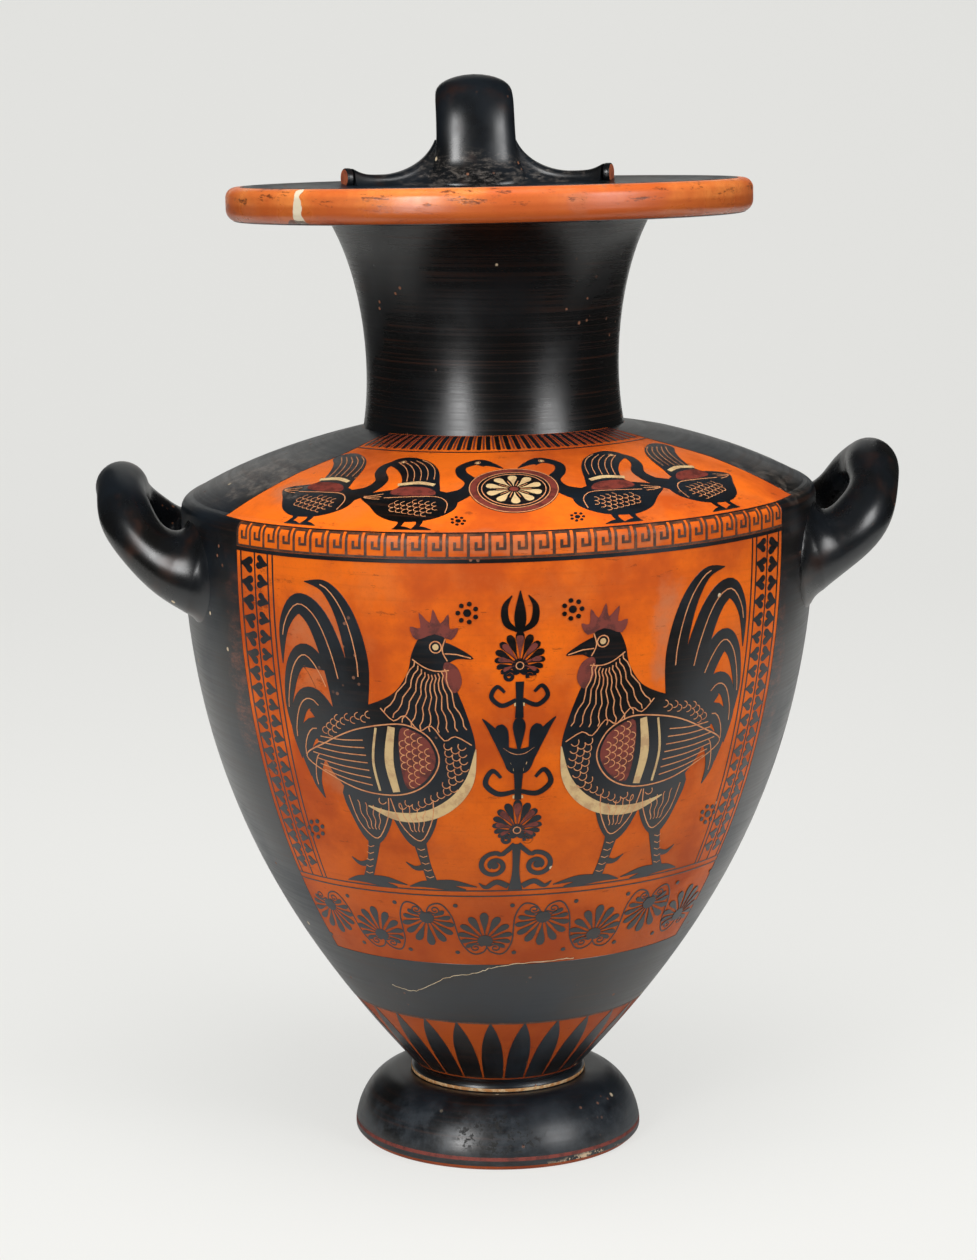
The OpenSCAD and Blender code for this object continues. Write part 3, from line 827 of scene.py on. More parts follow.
class HYDRIA_OT_thrown(bpy.types.Operator):
    """Throw the foot, its bead, the body, shoulder, neck and mouth, each with its real wall."""
    bl_idname = "hydria.thrown"
    bl_label = "Thrown parts"

    def execute(self, context):
        top_z = FOOT_TOP[1]
        thrown("foot_clay", FOOT_SIDE + [(REST_IN_R, 0)] + FOOT_HOLLOW + [(FOOT_HOLLOW_R, top_z)],
               "clay", ["foot"])
        thrown("foot_bead_slip", BEAD_SIDE + [(STEM_R, top_z)], "gloss", ["foot_bead"])
        hollow = [p for p in moved_in(BODY_SIDE, -WALL, -BASE_WALL) if p[1] > FLOOR_Z]
        thrown("body_clay", [(0, top_z), (STEM_R, top_z)] + BODY_SIDE[::-1] + hollow + [(0, FLOOR_Z)],
               "clay", ["body"], after=lean_wall)
        under = [p for p in moved_in(SHOULDER_SIDE, WALL, WALL) if p[1] > SEAM_Z and p[0] > NECK_R - WALL]
        thrown("shoulder_clay", SHOULDER_SIDE + [(NECK_R - WALL, NECK_Z), (NECK_R - WALL, NECK_Z - 5.4)]
               + under[::-1] + [(BODY_R - WALL, SEAM_Z)], "clay", ["shoulder"], after=seat_wall)
        thrown("neck_slip", NECK_SIDE + [(r - WALL, z) for r, z in NECK_SIDE[::-1]], "neck gloss",
               ["neck"], NECK_FRAME)
        thrown("mouth_clay", LIP_FACE + LIP_TOP + THROAT[1:], "rim clay", ["mouth"], NECK_FRAME)
        return {"FINISHED"}


# Handles: side loops on a sheet that curves upwards, and a strap with two arms along the rim.

# a side handle: half the span over its bars' middles, its reach along the sheet, the radius of its bar and of
# its root, and how deep the root starts in the wall
SIDE_HALF, SIDE_REACH, SIDE_BAR, SIDE_ROOT, SIDE_SUNK = 38.0, 49.0, 10.8, 17.2, 14.0
SIDE_SWELL, SIDE_SWELL_PITCH, SIDE_SWELL_START = 0.5, 36.0, 6.0
SIDE_LEAVE, SIDE_BEND = radians(14), radians(64)
SIDE_Z = SEAM_Z - 24.0
SIDE_WALL_X = sqrt(skin_at(DOWN_SKIN, skin_distance(SIDE_Z))[0] ** 2 - SIDE_HALF ** 2)
BEND_R = SIDE_REACH / SIDE_BEND

# the strap: its width above and below, its swell to either face, its crown over the lip, and where it stands
STRAP_W, STRAP_LOW_W, STRAP_OUTER, STRAP_INNER, STRAP_CROWN = 37.4, 31.0, 8.4, 5.6, 43.5
STRAP_FRONT_Y, STRAP_BACK_Y, STRAP_FOOT_Y = 102.4, 134.0, 107.6
# the arms along the rim, half as thick at the top, and the discs at their ends
WING_MID_R, WING_FOOT_HALF, WING_TOP_HALF, WING_H = 104.2, 5.0, 2.6, 18.5
WING_REACH, WING_THIN, DISC_R, DISC_T, DISC_TURN = 60.5, 2.8, 4.6, 3.2, radians(14)


def sheet_angle(s):
    """How steeply the side handle's sheet rises at a distance from the wall."""
    return SIDE_LEAVE + SIDE_BEND * max(s, 0) / SIDE_REACH


def bar_point(s, y):
    """A point of the side handle's middle line: s runs out from the wall along its sheet, y across it."""
    return Vector((SIDE_WALL_X + min(s, 0) * cos(SIDE_LEAVE) + BEND_R * (sin(sheet_angle(s)) - sin(SIDE_LEAVE)), y,
                   SIDE_Z + min(s, 0) * sin(SIDE_LEAVE) + BEND_R * (cos(SIDE_LEAVE) - cos(sheet_angle(s)))))


def wall_gap(point):
    """How far a point near the belly stands outside its wall, and the wall's normal there."""
    r, _, out, up = skin_at(DOWN_SKIN, skin_distance(min(point.z, SEAM_Z - 0.1)))
    flat = hypot(point.x, point.y)
    return max(0.0, (flat - r) * out), Vector((point.x / flat * out, point.y / flat * out, up))


def side_rings(sides=36, leg_steps=34, loop_steps=44):
    """Rings of the round bar, from root to root, each square to the bar."""
    leg = SIDE_REACH - SIDE_HALF
    legs = [-SIDE_SUNK + (leg + SIDE_SUNK) * i / leg_steps for i in range(leg_steps)]
    run = [(s, SIDE_HALF) for s in legs]
    run += [(leg + SIDE_HALF * sin(pi * i / loop_steps), SIDE_HALF * cos(pi * i / loop_steps))
            for i in range(loop_steps + 1)]
    run += [(s, -SIDE_HALF) for s in legs[::-1]]
    line = [bar_point(*p) for p in run]
    rings, travelled = [], 0.0
    for i, p in enumerate(line):
        t = (line[min(i + 1, len(line) - 1)] - line[max(i - 1, 0)]).normalized()
        a = sheet_angle(run[i][0])
        up = Vector((-sin(a), 0, cos(a)))
        side = t.cross(up)
        r = SIDE_BAR + (SIDE_ROOT - SIDE_BAR) * exp(-max(run[i][0], 0) / SIDE_ROOT)
        # pulled by hand, the bar swells and thins a little along its length
        travelled += (line[i] - line[i - 1]).length if i else 0.0
        r += SIDE_SWELL * cos(2 * pi * (travelled - SIDE_SUNK - SIDE_SWELL_START) / SIDE_SWELL_PITCH)
        ring_points = []
        for k in range(sides):
            q = 2 * pi * k / sides
            ray = cos(q) * up + sin(q) * side
            # smoothed into the wall with a wet finger: a tight fillet and a wider, shallow one
            gap, normal = wall_gap(p + r * ray)
            along = (ray - ray.dot(normal) * normal).normalized()
            ring_points.append(p + r * ray + (5.0 * exp(-gap / 2.2) + 1.6 * exp(-gap / 9)) * along)
        rings.append(ring_points)
    return rings


def strap_rings(sides=36, steps=36):
    """Rings of the strap: up from the rim, over, and down to the shoulder."""
    crown_z, mid_z = LIP_TOP_Z + STRAP_CROWN - STRAP_OUTER, LIP_Z + 4
    pull = (crown_z - mid_z) * 4 / 3
    foot_z = skin_at(UP_SKIN, next(s for s, r, _ in UP_SKIN if r <= STRAP_FOOT_Y))[1]
    line = [(STRAP_FRONT_Y, LIP_TOP_Z + h) for h in (-9.0, -5.0, -3.5, -2.0, -0.6, 0.8, 2.2)]
    line += bezier((STRAP_FRONT_Y, mid_z + 14), (STRAP_FRONT_Y - 2, mid_z + pull + 4),
                   (STRAP_BACK_Y - 1, mid_z + pull - 4), (STRAP_BACK_Y, mid_z), steps)
    line += bezier((STRAP_BACK_Y, mid_z), (STRAP_BACK_Y + 1, mid_z - 42), (STRAP_FOOT_Y + 17, foot_z + 36),
                   (STRAP_FOOT_Y - 1, foot_z - 3.5), steps)[1:]
    rings = []
    for i, (y, z) in enumerate(line):
        a, b = line[max(i - 1, 0)], line[min(i + 1, len(line) - 1)]
        t = unit_of(a, b)
        share = max(0.0, i - steps / 2) / (1.5 * steps)
        w = (STRAP_W + (STRAP_LOW_W - STRAP_W) * min(1, 1.3 * share)) / 2
        # in front the root spreads out over the lip, forwards and to both sides
        spread = i < steps / 2
        outer = STRAP_OUTER + (7.5 * exp(-(max(z - LIP_TOP_Z, -4.0) + 4.0) / 6.5) if spread else 0.0)
        w += 5.0 * exp(-max(z - LIP_TOP_Z, -1.0) / 5.5) if spread else 0.0
        ring_points = []
        for k in range(sides):
            q = 2 * pi * k / sides
            x = w * power(cos(q), 0.8)
            # a low ridge runs along the outer face
            ridge = 0.6 * exp(-(x / 8) ** 2)
            rise = outer * sin(q) + ridge if sin(q) > 0 else STRAP_INNER * power(sin(q), 0.6)
            ring_points.append((x, y - t[1] * rise, z + t[0] * rise))
        rings.append(ring_points)
    return rings


def power(value, exponent):
    """A power that keeps the value's sign."""
    return (1 if value >= 0 else -1) * abs(value) ** exponent


# the arm's top edge, from the strap down to a thin run and up again to the disc
WING_EDGE = (bezier((STRAP_W / 2 + 0.5, WING_H), (STRAP_W / 2 + 3.5, WING_H * 0.57),
                    (STRAP_W / 2 + 12, WING_THIN * 1.3), (STRAP_W / 2 + 25, WING_THIN), 24)
             + bezier((STRAP_W / 2 + 28, WING_THIN), (WING_REACH - 5, WING_THIN), (WING_REACH - 3, WING_THIN + 1.5),
                      (WING_REACH, DISC_R * 1.3), 12))


def strap_face(x):
    """How far the strap's rounded face stands in front of the arms' middle line."""
    edge = min(1.0, (0.93 * abs(x) * 2 / STRAP_W) ** 1.25)
    return WING_MID_R - (STRAP_FRONT_Y - STRAP_OUTER * sqrt(1 - edge * edge)) / cos(asin(x / WING_MID_R))


def wing_rings(side, sides=16):
    """Rings of one arm: its top falls from the strap and lifts at the tip, and its front sweeps out over the rim."""
    rings = []
    for x, top in [(x, WING_H) for x in (0.0, 3.0, 6.0, 9.0, 11.5, 13.5, 15.5, 17.2)] + WING_EDGE:
        a = asin(x / WING_MID_R)
        low, foot = -5.5, WING_FOOT_HALF
        half = foot - (foot - WING_TOP_HALF) * max(top, 0) / WING_H
        front = max(half, strap_face(x) - 0.5)
        rounding = min(half, 2.4, (top - low) / 2)
        # the sweep down to the rim bellies by the strap and runs out along the arm
        swell = max(front, half + (10.6 - half) * (1 - smooth_step(4, 34, x))) + 0.5
        reach = 8.0 + 15.0 * (1 - smooth_step(6, 54, x))
        outline = [(foot, low), (foot, 0.0)]
        for k in range(sides // 2 + 1):
            q = pi * k / (sides // 2)
            width = half if q < pi / 2 + 0.01 else front
            sign = 1 if q < pi / 2 - 0.01 else -1 if q > pi / 2 + 0.01 else 0
            outline.append(((width - rounding) * sign + rounding * cos(q), top - rounding + rounding * sin(q)))
        start = (-front, top - rounding)
        for k in range(1, 13):
            t = k / 12
            outline.append(((1 - t) ** 2 * start[0] - 2 * t * (1 - t) * swell - t * t * reach,
                            (1 - t) ** 2 * start[1] - 2 * t * (1 - t) * 2.6 - t * t * 3.6))
        outline.append((-reach, low))
        rings.append([(side * (WING_MID_R + w) * sin(a), (WING_MID_R + w) * cos(a), LIP_TOP_Z + h)
                      for w, h in outline])
    return rings


class HYDRIA_OT_handles(bpy.types.Operator):
    """Pull the two side handles and the strap, with the arms and discs on the rim."""
    bl_idname = "hydria.handles"
    bl_label = "Handles"

    def execute(self, context):
        for name, turn in (("right_handle", 0), ("left_handle", pi)):
            piece = loft(name + "_slip", side_rings(), SHOULDER_FRAME @ Matrix.Rotation(turn, 4, "Z"))
            to_wall(piece)
            finish_piece(piece, finish("handle gloss"), [name])
        finish_piece(loft("strap_slip", strap_rings(), SHOULDER_FRAME), finish("handle gloss"),
                     ["back_handle"])
        for name, side in (("left", -1), ("right", 1)):
            finish_piece(loft(name + "_arm_slip", wing_rings(side), NECK_FRAME), finish("handle gloss"),
                         [name + "_wing"])
            turn = asin((WING_REACH + DISC_T * 0.4) / WING_MID_R)
            bead = rounded((DISC_R - 0.7, DISC_T / 2 - 0.7), 0.7, 0, 90, 4)
            back = [(0, -DISC_T / 2)] + [(r, -h) for r, h in bead[::-1]] + bead + [(0, DISC_T / 2)]
            place = (NECK_FRAME @ Matrix.Rotation(-side * turn, 4, "Z")
                     @ Matrix.Translation((0, WING_MID_R, LIP_TOP_Z - LIP_DISH + DISC_R))
                     @ Matrix.Rotation(side * DISC_TURN, 4, "Z")
                     @ Matrix.Rotation(side * pi / 2, 4, "Y"))
            thrown(name + "_disc_slip", back, "handle gloss", [name + "_disc"], place)
            face = [(0, DISC_T / 2 - 0.4), (DISC_R - 0.5, DISC_T / 2 - 0.4), (DISC_R - 0.6, DISC_T / 2 + 0.1),
                    (0, DISC_T / 2 + 0.15)]
            thrown(name + "_disc_clay", face, "disc clay", place=place)
        return {"FINISHED"}


# The black slip and the plain bands. Heights of the bands' edges on the wall, then the same as skin distances.

RAY_Z, BAND_Z, FRIEZE_Z, FRIEZE_TOP_Z, FIELD_Z, KEY_Z, KEY_TOP_Z = 35.6, 70.7, 104.0, 140.1, 142.8, 292.4, 302.0
RAY_LOW, BAND_LOW, FRIEZE_LOW, FRIEZE_TOP, FIELD_LOW, KEY_LOW, KEY_TOP = (
    skin_distance(z) for z in (RAY_Z, BAND_Z, FRIEZE_Z, FRIEZE_TOP_Z, FIELD_Z, KEY_Z, KEY_TOP_Z))
BACK = (PANEL_HALF * PANEL_R, (2 * pi - PANEL_HALF) * PANEL_R)
TONGUE_LINE = SEAT_S - 17.5


def degrees_x(angle):
    """Where an angle round the jar lies on the painting sheet."""
    return radians(angle) * PANEL_R


class HYDRIA_OT_slip(bpy.types.Operator):
    """Coat the lip, foot, back and lower band with black slip, a crisp thin skin over the clay."""
    bl_idname = "hydria.slip"
    bl_label = "Black slip"

    def execute(self, context):
        # the foot stays bare below 2.2 mm, where it was wiped, and has a thin red line just above
        thrown("foot_slip", coat(between(FOOT_SIDE, 2.2, 40.0)), "gloss")
        thrown("foot_line", coat(between(FOOT_SIDE, 4.6, 6.2), lift=0.2), "red")
        thrown("joint_line", coat(BEAD_SIDE[2:6], lift=0.16), "rubbed clay")
        thrown("lip_top_slip", coat(LIP_TOP + THROAT[1:], -1), "gloss", place=NECK_FRAME)
        under = [(NECK_TOP_R - 0.9, LIP_Z), (90.0, LIP_Z), (LIP_R - LIP_LOW_ROUND, LIP_Z)] + LIP_FACE[1:3]
        thrown("lip_under_slip", coat(under, -1), "gloss", place=NECK_FRAME)
        thrown("low_band_slip", coat(between(BODY_SIDE, BAND_Z, FRIEZE_Z)), "gloss", after=lean_wall)
        thrown("base_ring_slip", coat(between(BODY_SIDE, STEM_Z + 0.01, STEM_Z + 2)), "gloss")
        painted("body_back_slip", [box(BACK[0], FRIEZE_LOW - 5, BACK[1], 0.3)], "gloss", lift=0.04, cell=(6, 7))
        # on the shoulder the picture widens outwards, past the meander's ends
        heights = (0.0, KEY_TOP + 0.9, KEY_TOP + 1.6, SEAT_S * 0.5, TONGUE_LINE + 0.5, SEAT_S - 0.2)
        right, left = (list(zip(wider, heights)) for wider in ((0, 0, 8.0, 7.0, 2.5, 0), (0, 0, 6.0, 4.5, 1.5, 0)))
        painted("shoulder_back_slip", [[(BACK[0] + degrees_x(a), y) for a, y in right]
                                       + [(BACK[1] - degrees_x(a), y) for a, y in left[::-1]]],
                "gloss", lift=0.04, cell=(6, 7))
        return {"FINISHED"}


# Ornament of common kinds: rays, meander, tongues, ivy and palmettes.

class HYDRIA_OT_bands(bpy.types.Operator):
    """Brush the rays, frame lines, meander and tongues."""
    bl_idname = "hydria.bands"
    bl_label = "Rays, lines and meander"

    def execute(self, context):
        sizes = context.scene.hydria_sizes
        rnd = random.Random(4)
        rays, steps = [], 24
        for i in range(sizes.rays):
            turn = 2 * pi * (i + 0.5) / sizes.rays - pi
            left, right = [], []
            for k in range(steps + 1):
                t = k / steps
                s = RAY_LOW + (BAND_LOW - RAY_LOW - 0.6) * t
                # almost as wide as the pitch at its foot, and bellied, with a blunt tip
                half = max(0.90 * (1 - t ** 2.6), 0.03) * pi / sizes.rays * rnd.uniform(0.99, 1.01)
                left.append(((turn - half) * PANEL_R, s))
                right.append(((turn + half) * PANEL_R, s))
            rays.append(left + right[::-1])
        painted("base_rays", rays, "gloss", cell=(12, 4))
        painted("band_edge_line", [box(-pi * PANEL_R, BAND_LOW - 1.4, pi * PANEL_R, BAND_LOW - 0.3)], "dilute",
                cell=(6, 4))

        half = PANEL_HALF * PANEL_R
        lines = [box(-half, y - w / 2, half, y + w / 2)
                 for y, w in ((KEY_TOP + 0.5, 0.7), (KEY_LOW - 1.5, 1.7), (FIELD_LOW, 0.6), (FRIEZE_TOP, 0.6))]
        lines.append(box(-degrees_x(57), TONGUE_LINE - 0.3, degrees_x(57.5), TONGUE_LINE + 0.3))
        low, high = FIELD_LOW, KEY_LOW - 1.4
        for side in (-1, 1):
            for angle, w in ((45.5, 0.7), (46.7, 0.7), (50.0, 0.7), (53.8, 0.8)):
                x = side * degrees_x(angle)
                lines.append(box(x - w / 2, low, x + w / 2, high))
        painted("frame_lines", lines, "gloss", overlap=True)

        # one key in shares of its width and height
        key = [(0, 0), (0, 1), (0.70, 1), (0.70, 0.36), (0.36, 0.36), (0.36, 0.66)]
        unit, tall, stroke = 2 * half / sizes.key_units, KEY_TOP - KEY_LOW - 0.6, 1.15
        keys = []
        for i in range(sizes.key_units):
            way = [(-half + (i + 0.08 + u) * unit, KEY_LOW + v * tall + rnd.uniform(-0.1, 0.1)) for u, v in key]
            keys.append(mitred(way, stroke))
        keys.append(box(-half, KEY_LOW - 0.5, half, KEY_LOW + 0.5))
        painted("meander", keys, "dilute", overlap=True)

        tongues, thin = [], []
        pitch = 2 * PANEL_HALF / sizes.tongues
        for i in range(sizes.tongues):
            turn = -PANEL_HALF + (i + 0.3) * pitch
            tongues.append(tongue(turn + rnd.uniform(-0.002, 0.002), 0.95, SEAT_S - 15.5, SEAT_S - 1.0))
            thin.append(tongue(turn + pitch / 2, 0.42, SEAT_S - 15.0, SEAT_S - 1.0))
        painted("tongues", tongues, "gloss")
        painted("thin_tongues", thin, "red")
        return {"FINISHED"}


def tongue(turn, half, low, high):
    """A short upright stroke with a rounded foot."""
    outline = [(half * cos(pi + pi * i / 6), low + half + half * sin(pi + pi * i / 6)) for i in range(7)]
    return sheet(outline + [(half, high), (-half, high)], turn)


# one ivy leaf in millimetres, its tip along +x
IVY_LEAF = smooth_loop([(-1.3, 0), (-2.7, 0.7), (-3.3, 2.1), (-2.4, 3.5), (-0.5, 3.5), (1.7, 1.9), (4.7, 0.15),
                        (1.7, -1.9), (-0.5, -3.5), (-2.4, -3.5), (-3.3, -2.1), (-2.7, -0.7)], 3)


class HYDRIA_OT_wear(bpy.types.Operator):
    """A mended hairline crack that runs through the low band, up to its edge."""
    bl_idname = "hydria.wear"
    bl_label = "Crack"

    def execute(self, context):
        rnd, top, mid = random.Random(8), FRIEZE_LOW, (FRIEZE_LOW + BAND_LOW) / 2
        way = [(-38.5, mid + 1), (-30, mid - 0.5), (-18.7, top - 9.5), (-10, top - 5.5), (-4.7, top - 1.5),
               (4, top + 0.8), (17, top + 1.4)]
        line = [(degrees_x(a) + rnd.uniform(-0.5, 0.5), s + rnd.uniform(-0.35, 0.35))
                for a, s in smooth_line(way, 10)]
        painted("band_crack", [brush(line, [rnd.uniform(0.1, 0.4) for _ in line], 2)], "plaster",
                lift=0.12, overlap=True)
        return {"FINISHED"}


class HYDRIA_OT_ivy(bpy.types.Operator):
    """Two upright columns of ivy leaves down each side of the picture."""
    bl_idname = "hydria.ivy"
    bl_label = "Ivy borders"

    def execute(self, context):
        sizes, rnd = context.scene.hydria_sizes, random.Random(11)
        low, high = skin_distance(FIELD_Z + 3.7), KEY_LOW - 3.5
        leaves = []
        for side in (-1, 1):
            for out, angle, scale in ((1, 51.9, 0.92), (-1, 48.35, 0.80)):
                tip, middle = side * out, side * degrees_x(angle)
                for i in range(sizes.leaves):
                    t = (i + 0.5 + (0.0 if out > 0 else 0.15)) / sizes.leaves
                    # the leaves lie wider apart and grow larger towards the top
                    y = low + (high - low) * (t * 0.86 + 0.14 * t * t)
                    size = scale * rnd.uniform(0.93, 1.05) * (0.94 + 0.14 * t)
                    leaf = [(x, tip * v) for x, v in IVY_LEAF]
                    leaf = spun(leaf, -tip * rnd.uniform(0.02, 0.3), scale=size, flip=tip)
                    leaves.append([(middle + x + rnd.uniform(-0.05, 0.05), y + v) for x, v in leaf])
        painted("ivy_leaves", leaves, "gloss", cell=None, lift=0.07)
        return {"FINISHED"}


def drop(length, width, start=0.0):
    """A petal along +y: narrow at its foot, full and round at its tip."""
    points = [(0.0, start), (width * 0.13, start + length * 0.3), (width * 0.5, start + length * 0.78),
              (width * 0.3, start + length * 0.97), (0.0, start + length), (-width * 0.3, start + length * 0.97),
              (-width * 0.5, start + length * 0.78), (-width * 0.13, start + length * 0.3)]
    return smooth_loop(points, 3)


def spun(points, angle, move=(0.0, 0.0), scale=1.0, flip=1):
    """A drawing turned, scaled, mirrored and moved."""
    c, s = cos(angle), sin(angle)
    return [(move[0] + flip * scale * (x * c - y * s), move[1] + scale * (x * s + y * c)) for x, y in points]


def fan(count, spread, length, width, start, end_share=0.5):
    """The petals of a palmette, shorter, thinner and more bent towards its sides."""
    out = []
    for i in range(count):
        t = 2 * i / (count - 1) - 1
        size = length * (1 - (1 - end_share) * abs(t) ** 1.1)
        petal = drop(size, width * (1 - 0.42 * abs(t)), start)
        bent = [(x + (1 if t > 0 else -1) * 0.018 * abs(t) * (y - start) ** 2, y) for x, y in petal]
        out.append(spun(bent, -radians(spread) * t))
    return out


def spiral(x, y, r0, r1, start, turns, steps=22):
    """Points of a spiral, wound in from r0 to r1."""
    return [(x + (r0 + (r1 - r0) * i / steps) * cos(start + 2 * pi * turns * i / steps),
             y + (r0 + (r1 - r0) * i / steps) * sin(start + 2 * pi * turns * i / steps)) for i in range(steps + 1)]


def palmette_drawing(count=11, length=14.2, width=3.8, spread=110):
    """A palmette on two volutes, in millimetres, its heart at the origin and its fan upwards."""
    black = fan(count, spread, length, width, 2.2)
    black.append(smooth_loop([(0, 3.2), (2.4, 2.2), (3.4, -0.4), (1.9, -2.8), (-1.9, -2.8), (-3.4, -0.4),
                              (-2.4, 2.2)], 3))
    lines = []
    for flip in (-1, 1):
        curl = [(flip * x, y) for x, y in spiral(4.3, -4.6, 2.3, 0.6, radians(130), -1.3)]
        lines.append([(flip * 0.6, -2.6), (flip * 1.5, -3.4)] + curl[1:])
    return black, lines


def running_tendril(pitch, up):
    """The S of a tendril from under one palmette to over the next, whose hearts lie at x 0 and at the pitch."""
    half = pitch / 2
    path = [(0.4, -9.6), (0.9, -11.2), (2.6, -13.6), (6.2, -14.9), (half - 3.4, -13.0), (half - 0.9, -7.4),
            (half, 0.0)]
    path += [(pitch - x, -y) for x, y in path[-2::-1]]
    return [(x, y * up) for x, y in path]


class HYDRIA_OT_frieze(bpy.types.Operator):
    """The row of palmettes under the picture, up and down by turns, ringed by one running tendril."""
    bl_idname = "hydria.frieze"
    bl_label = "Palmette frieze"

    def execute(self, context):
        sizes = context.scene.hydria_sizes
        black, tendrils = [], []
        mid = (FRIEZE_LOW + FRIEZE_TOP) / 2 + 1.2
        pitch, heart = radians(13.75), 6.4
        petals, lines = palmette_drawing()
        across = pitch * skin_at(DOWN_SKIN, mid)[0]
        for i in range(sizes.palmettes):
            turn = (i - (sizes.palmettes - 1) / 2) * pitch
            up = 1 if i % 2 else -1
            black += [sheet([(x, up * (y - heart)) for x, y in p], turn, mid) for p in petals]
            for p in lines:
                curl = sheet([(x, up * (y - heart)) for x, y in p], turn, mid)
                tendrils.append(brush(curl, [0.7] * len(p), 2))
            if i + 1 < sizes.palmettes:
                path = running_tendril(across, up)
                tendrils.append(brush(sheet(path, turn, mid), [0.75] * len(path), 3))
            for side in (-1, 1):
                black.append(sheet(ring(0, 0, 1.05, 10), turn + side * pitch * 0.47, mid + up * 14.0))
        painted("frieze_palmettes", black, "gloss", overlap=True)
        painted("frieze_tendrils", tendrils, "gloss", overlap=True, lift=0.045)
        return {"FINISHED"}


# Picture fields: generic birds and flowers in the black-figure way, with needle lines and added colours.

class Drawing:
    """Flat layers of one figure, in true millimetres: slip, added colours and needle lines."""

    def __init__(self):
        self.slip, self.red, self.cream, self.lines = [], [], [], []

    def moved(self, way):
        """The same layers, with each outline and line put through a function."""
        out = Drawing()
        for key in ("slip", "red", "cream"):
            setattr(out, key, [way(p) for p in getattr(self, key)])
        out.lines = [(way(p), w) for p, w in self.lines]
        return out

    def placed(self, turn, rise, flip=1):
        """The same layers set on the painting sheet."""
        return self.moved(lambda p: sheet(p, turn, rise, flip))

    def add(self, other):
        """Take in another figure's layers."""
        for key in ("slip", "red", "cream", "lines"):
            getattr(self, key).extend(getattr(other, key))

    def laid(self, name):
        """Paint all layers on the wall, each as one piece."""
        painted(name + "_slip", self.slip, "gloss", overlap=True)
        painted(name + "_red", self.red, "red", lift=0.16, overlap=True)
        painted(name + "_cream", self.cream, "cream", lift=0.19, overlap=True)
        scratched(name + "_needle", self.lines, lift=0.27)


def scales(region, size, turn=0.0, ratio=0.8):
    """Rows of small needle arcs that fill a region like scales; turn is where they point."""
    xs, ys = [p[0] for p in region], [p[1] for p in region]
    mid = ((min(xs) + max(xs)) / 2, (min(ys) + max(ys)) / 2)
    reach = hypot(max(xs) - min(xs), max(ys) - min(ys)) / 2
    lines, rows = [], int(reach / (size * ratio)) + 1
    for row in range(-rows, rows + 1):
        for col in range(-rows, rows + 1):
            u, v = (col + 0.5 * (row % 2)) * size, row * size * ratio
            arc = [(u + size / 2 * cos(a), v + size * 0.62 * sin(a)) for a in (pi + pi * k / 6 for k in range(7))]
            arc = spun(arc, turn, mid)
            if all(inside(p, region) for p in arc):
                lines.append(arc)
    return lines


def wavy(points, swing, waves, steps=5):
    """A needle line that waves about a smooth line."""
    line = smooth_line(points, steps)
    out = []
    for i, p in enumerate(line):
        a, b = line[max(i - 1, 0)], line[min(i + 1, len(line) - 1)]
        u = unit_of(a, b)
        k = swing * sin(2 * pi * waves * i / (len(line) - 1))
        out.append((p[0] - u[1] * k, p[1] + u[0] * k))
    return out


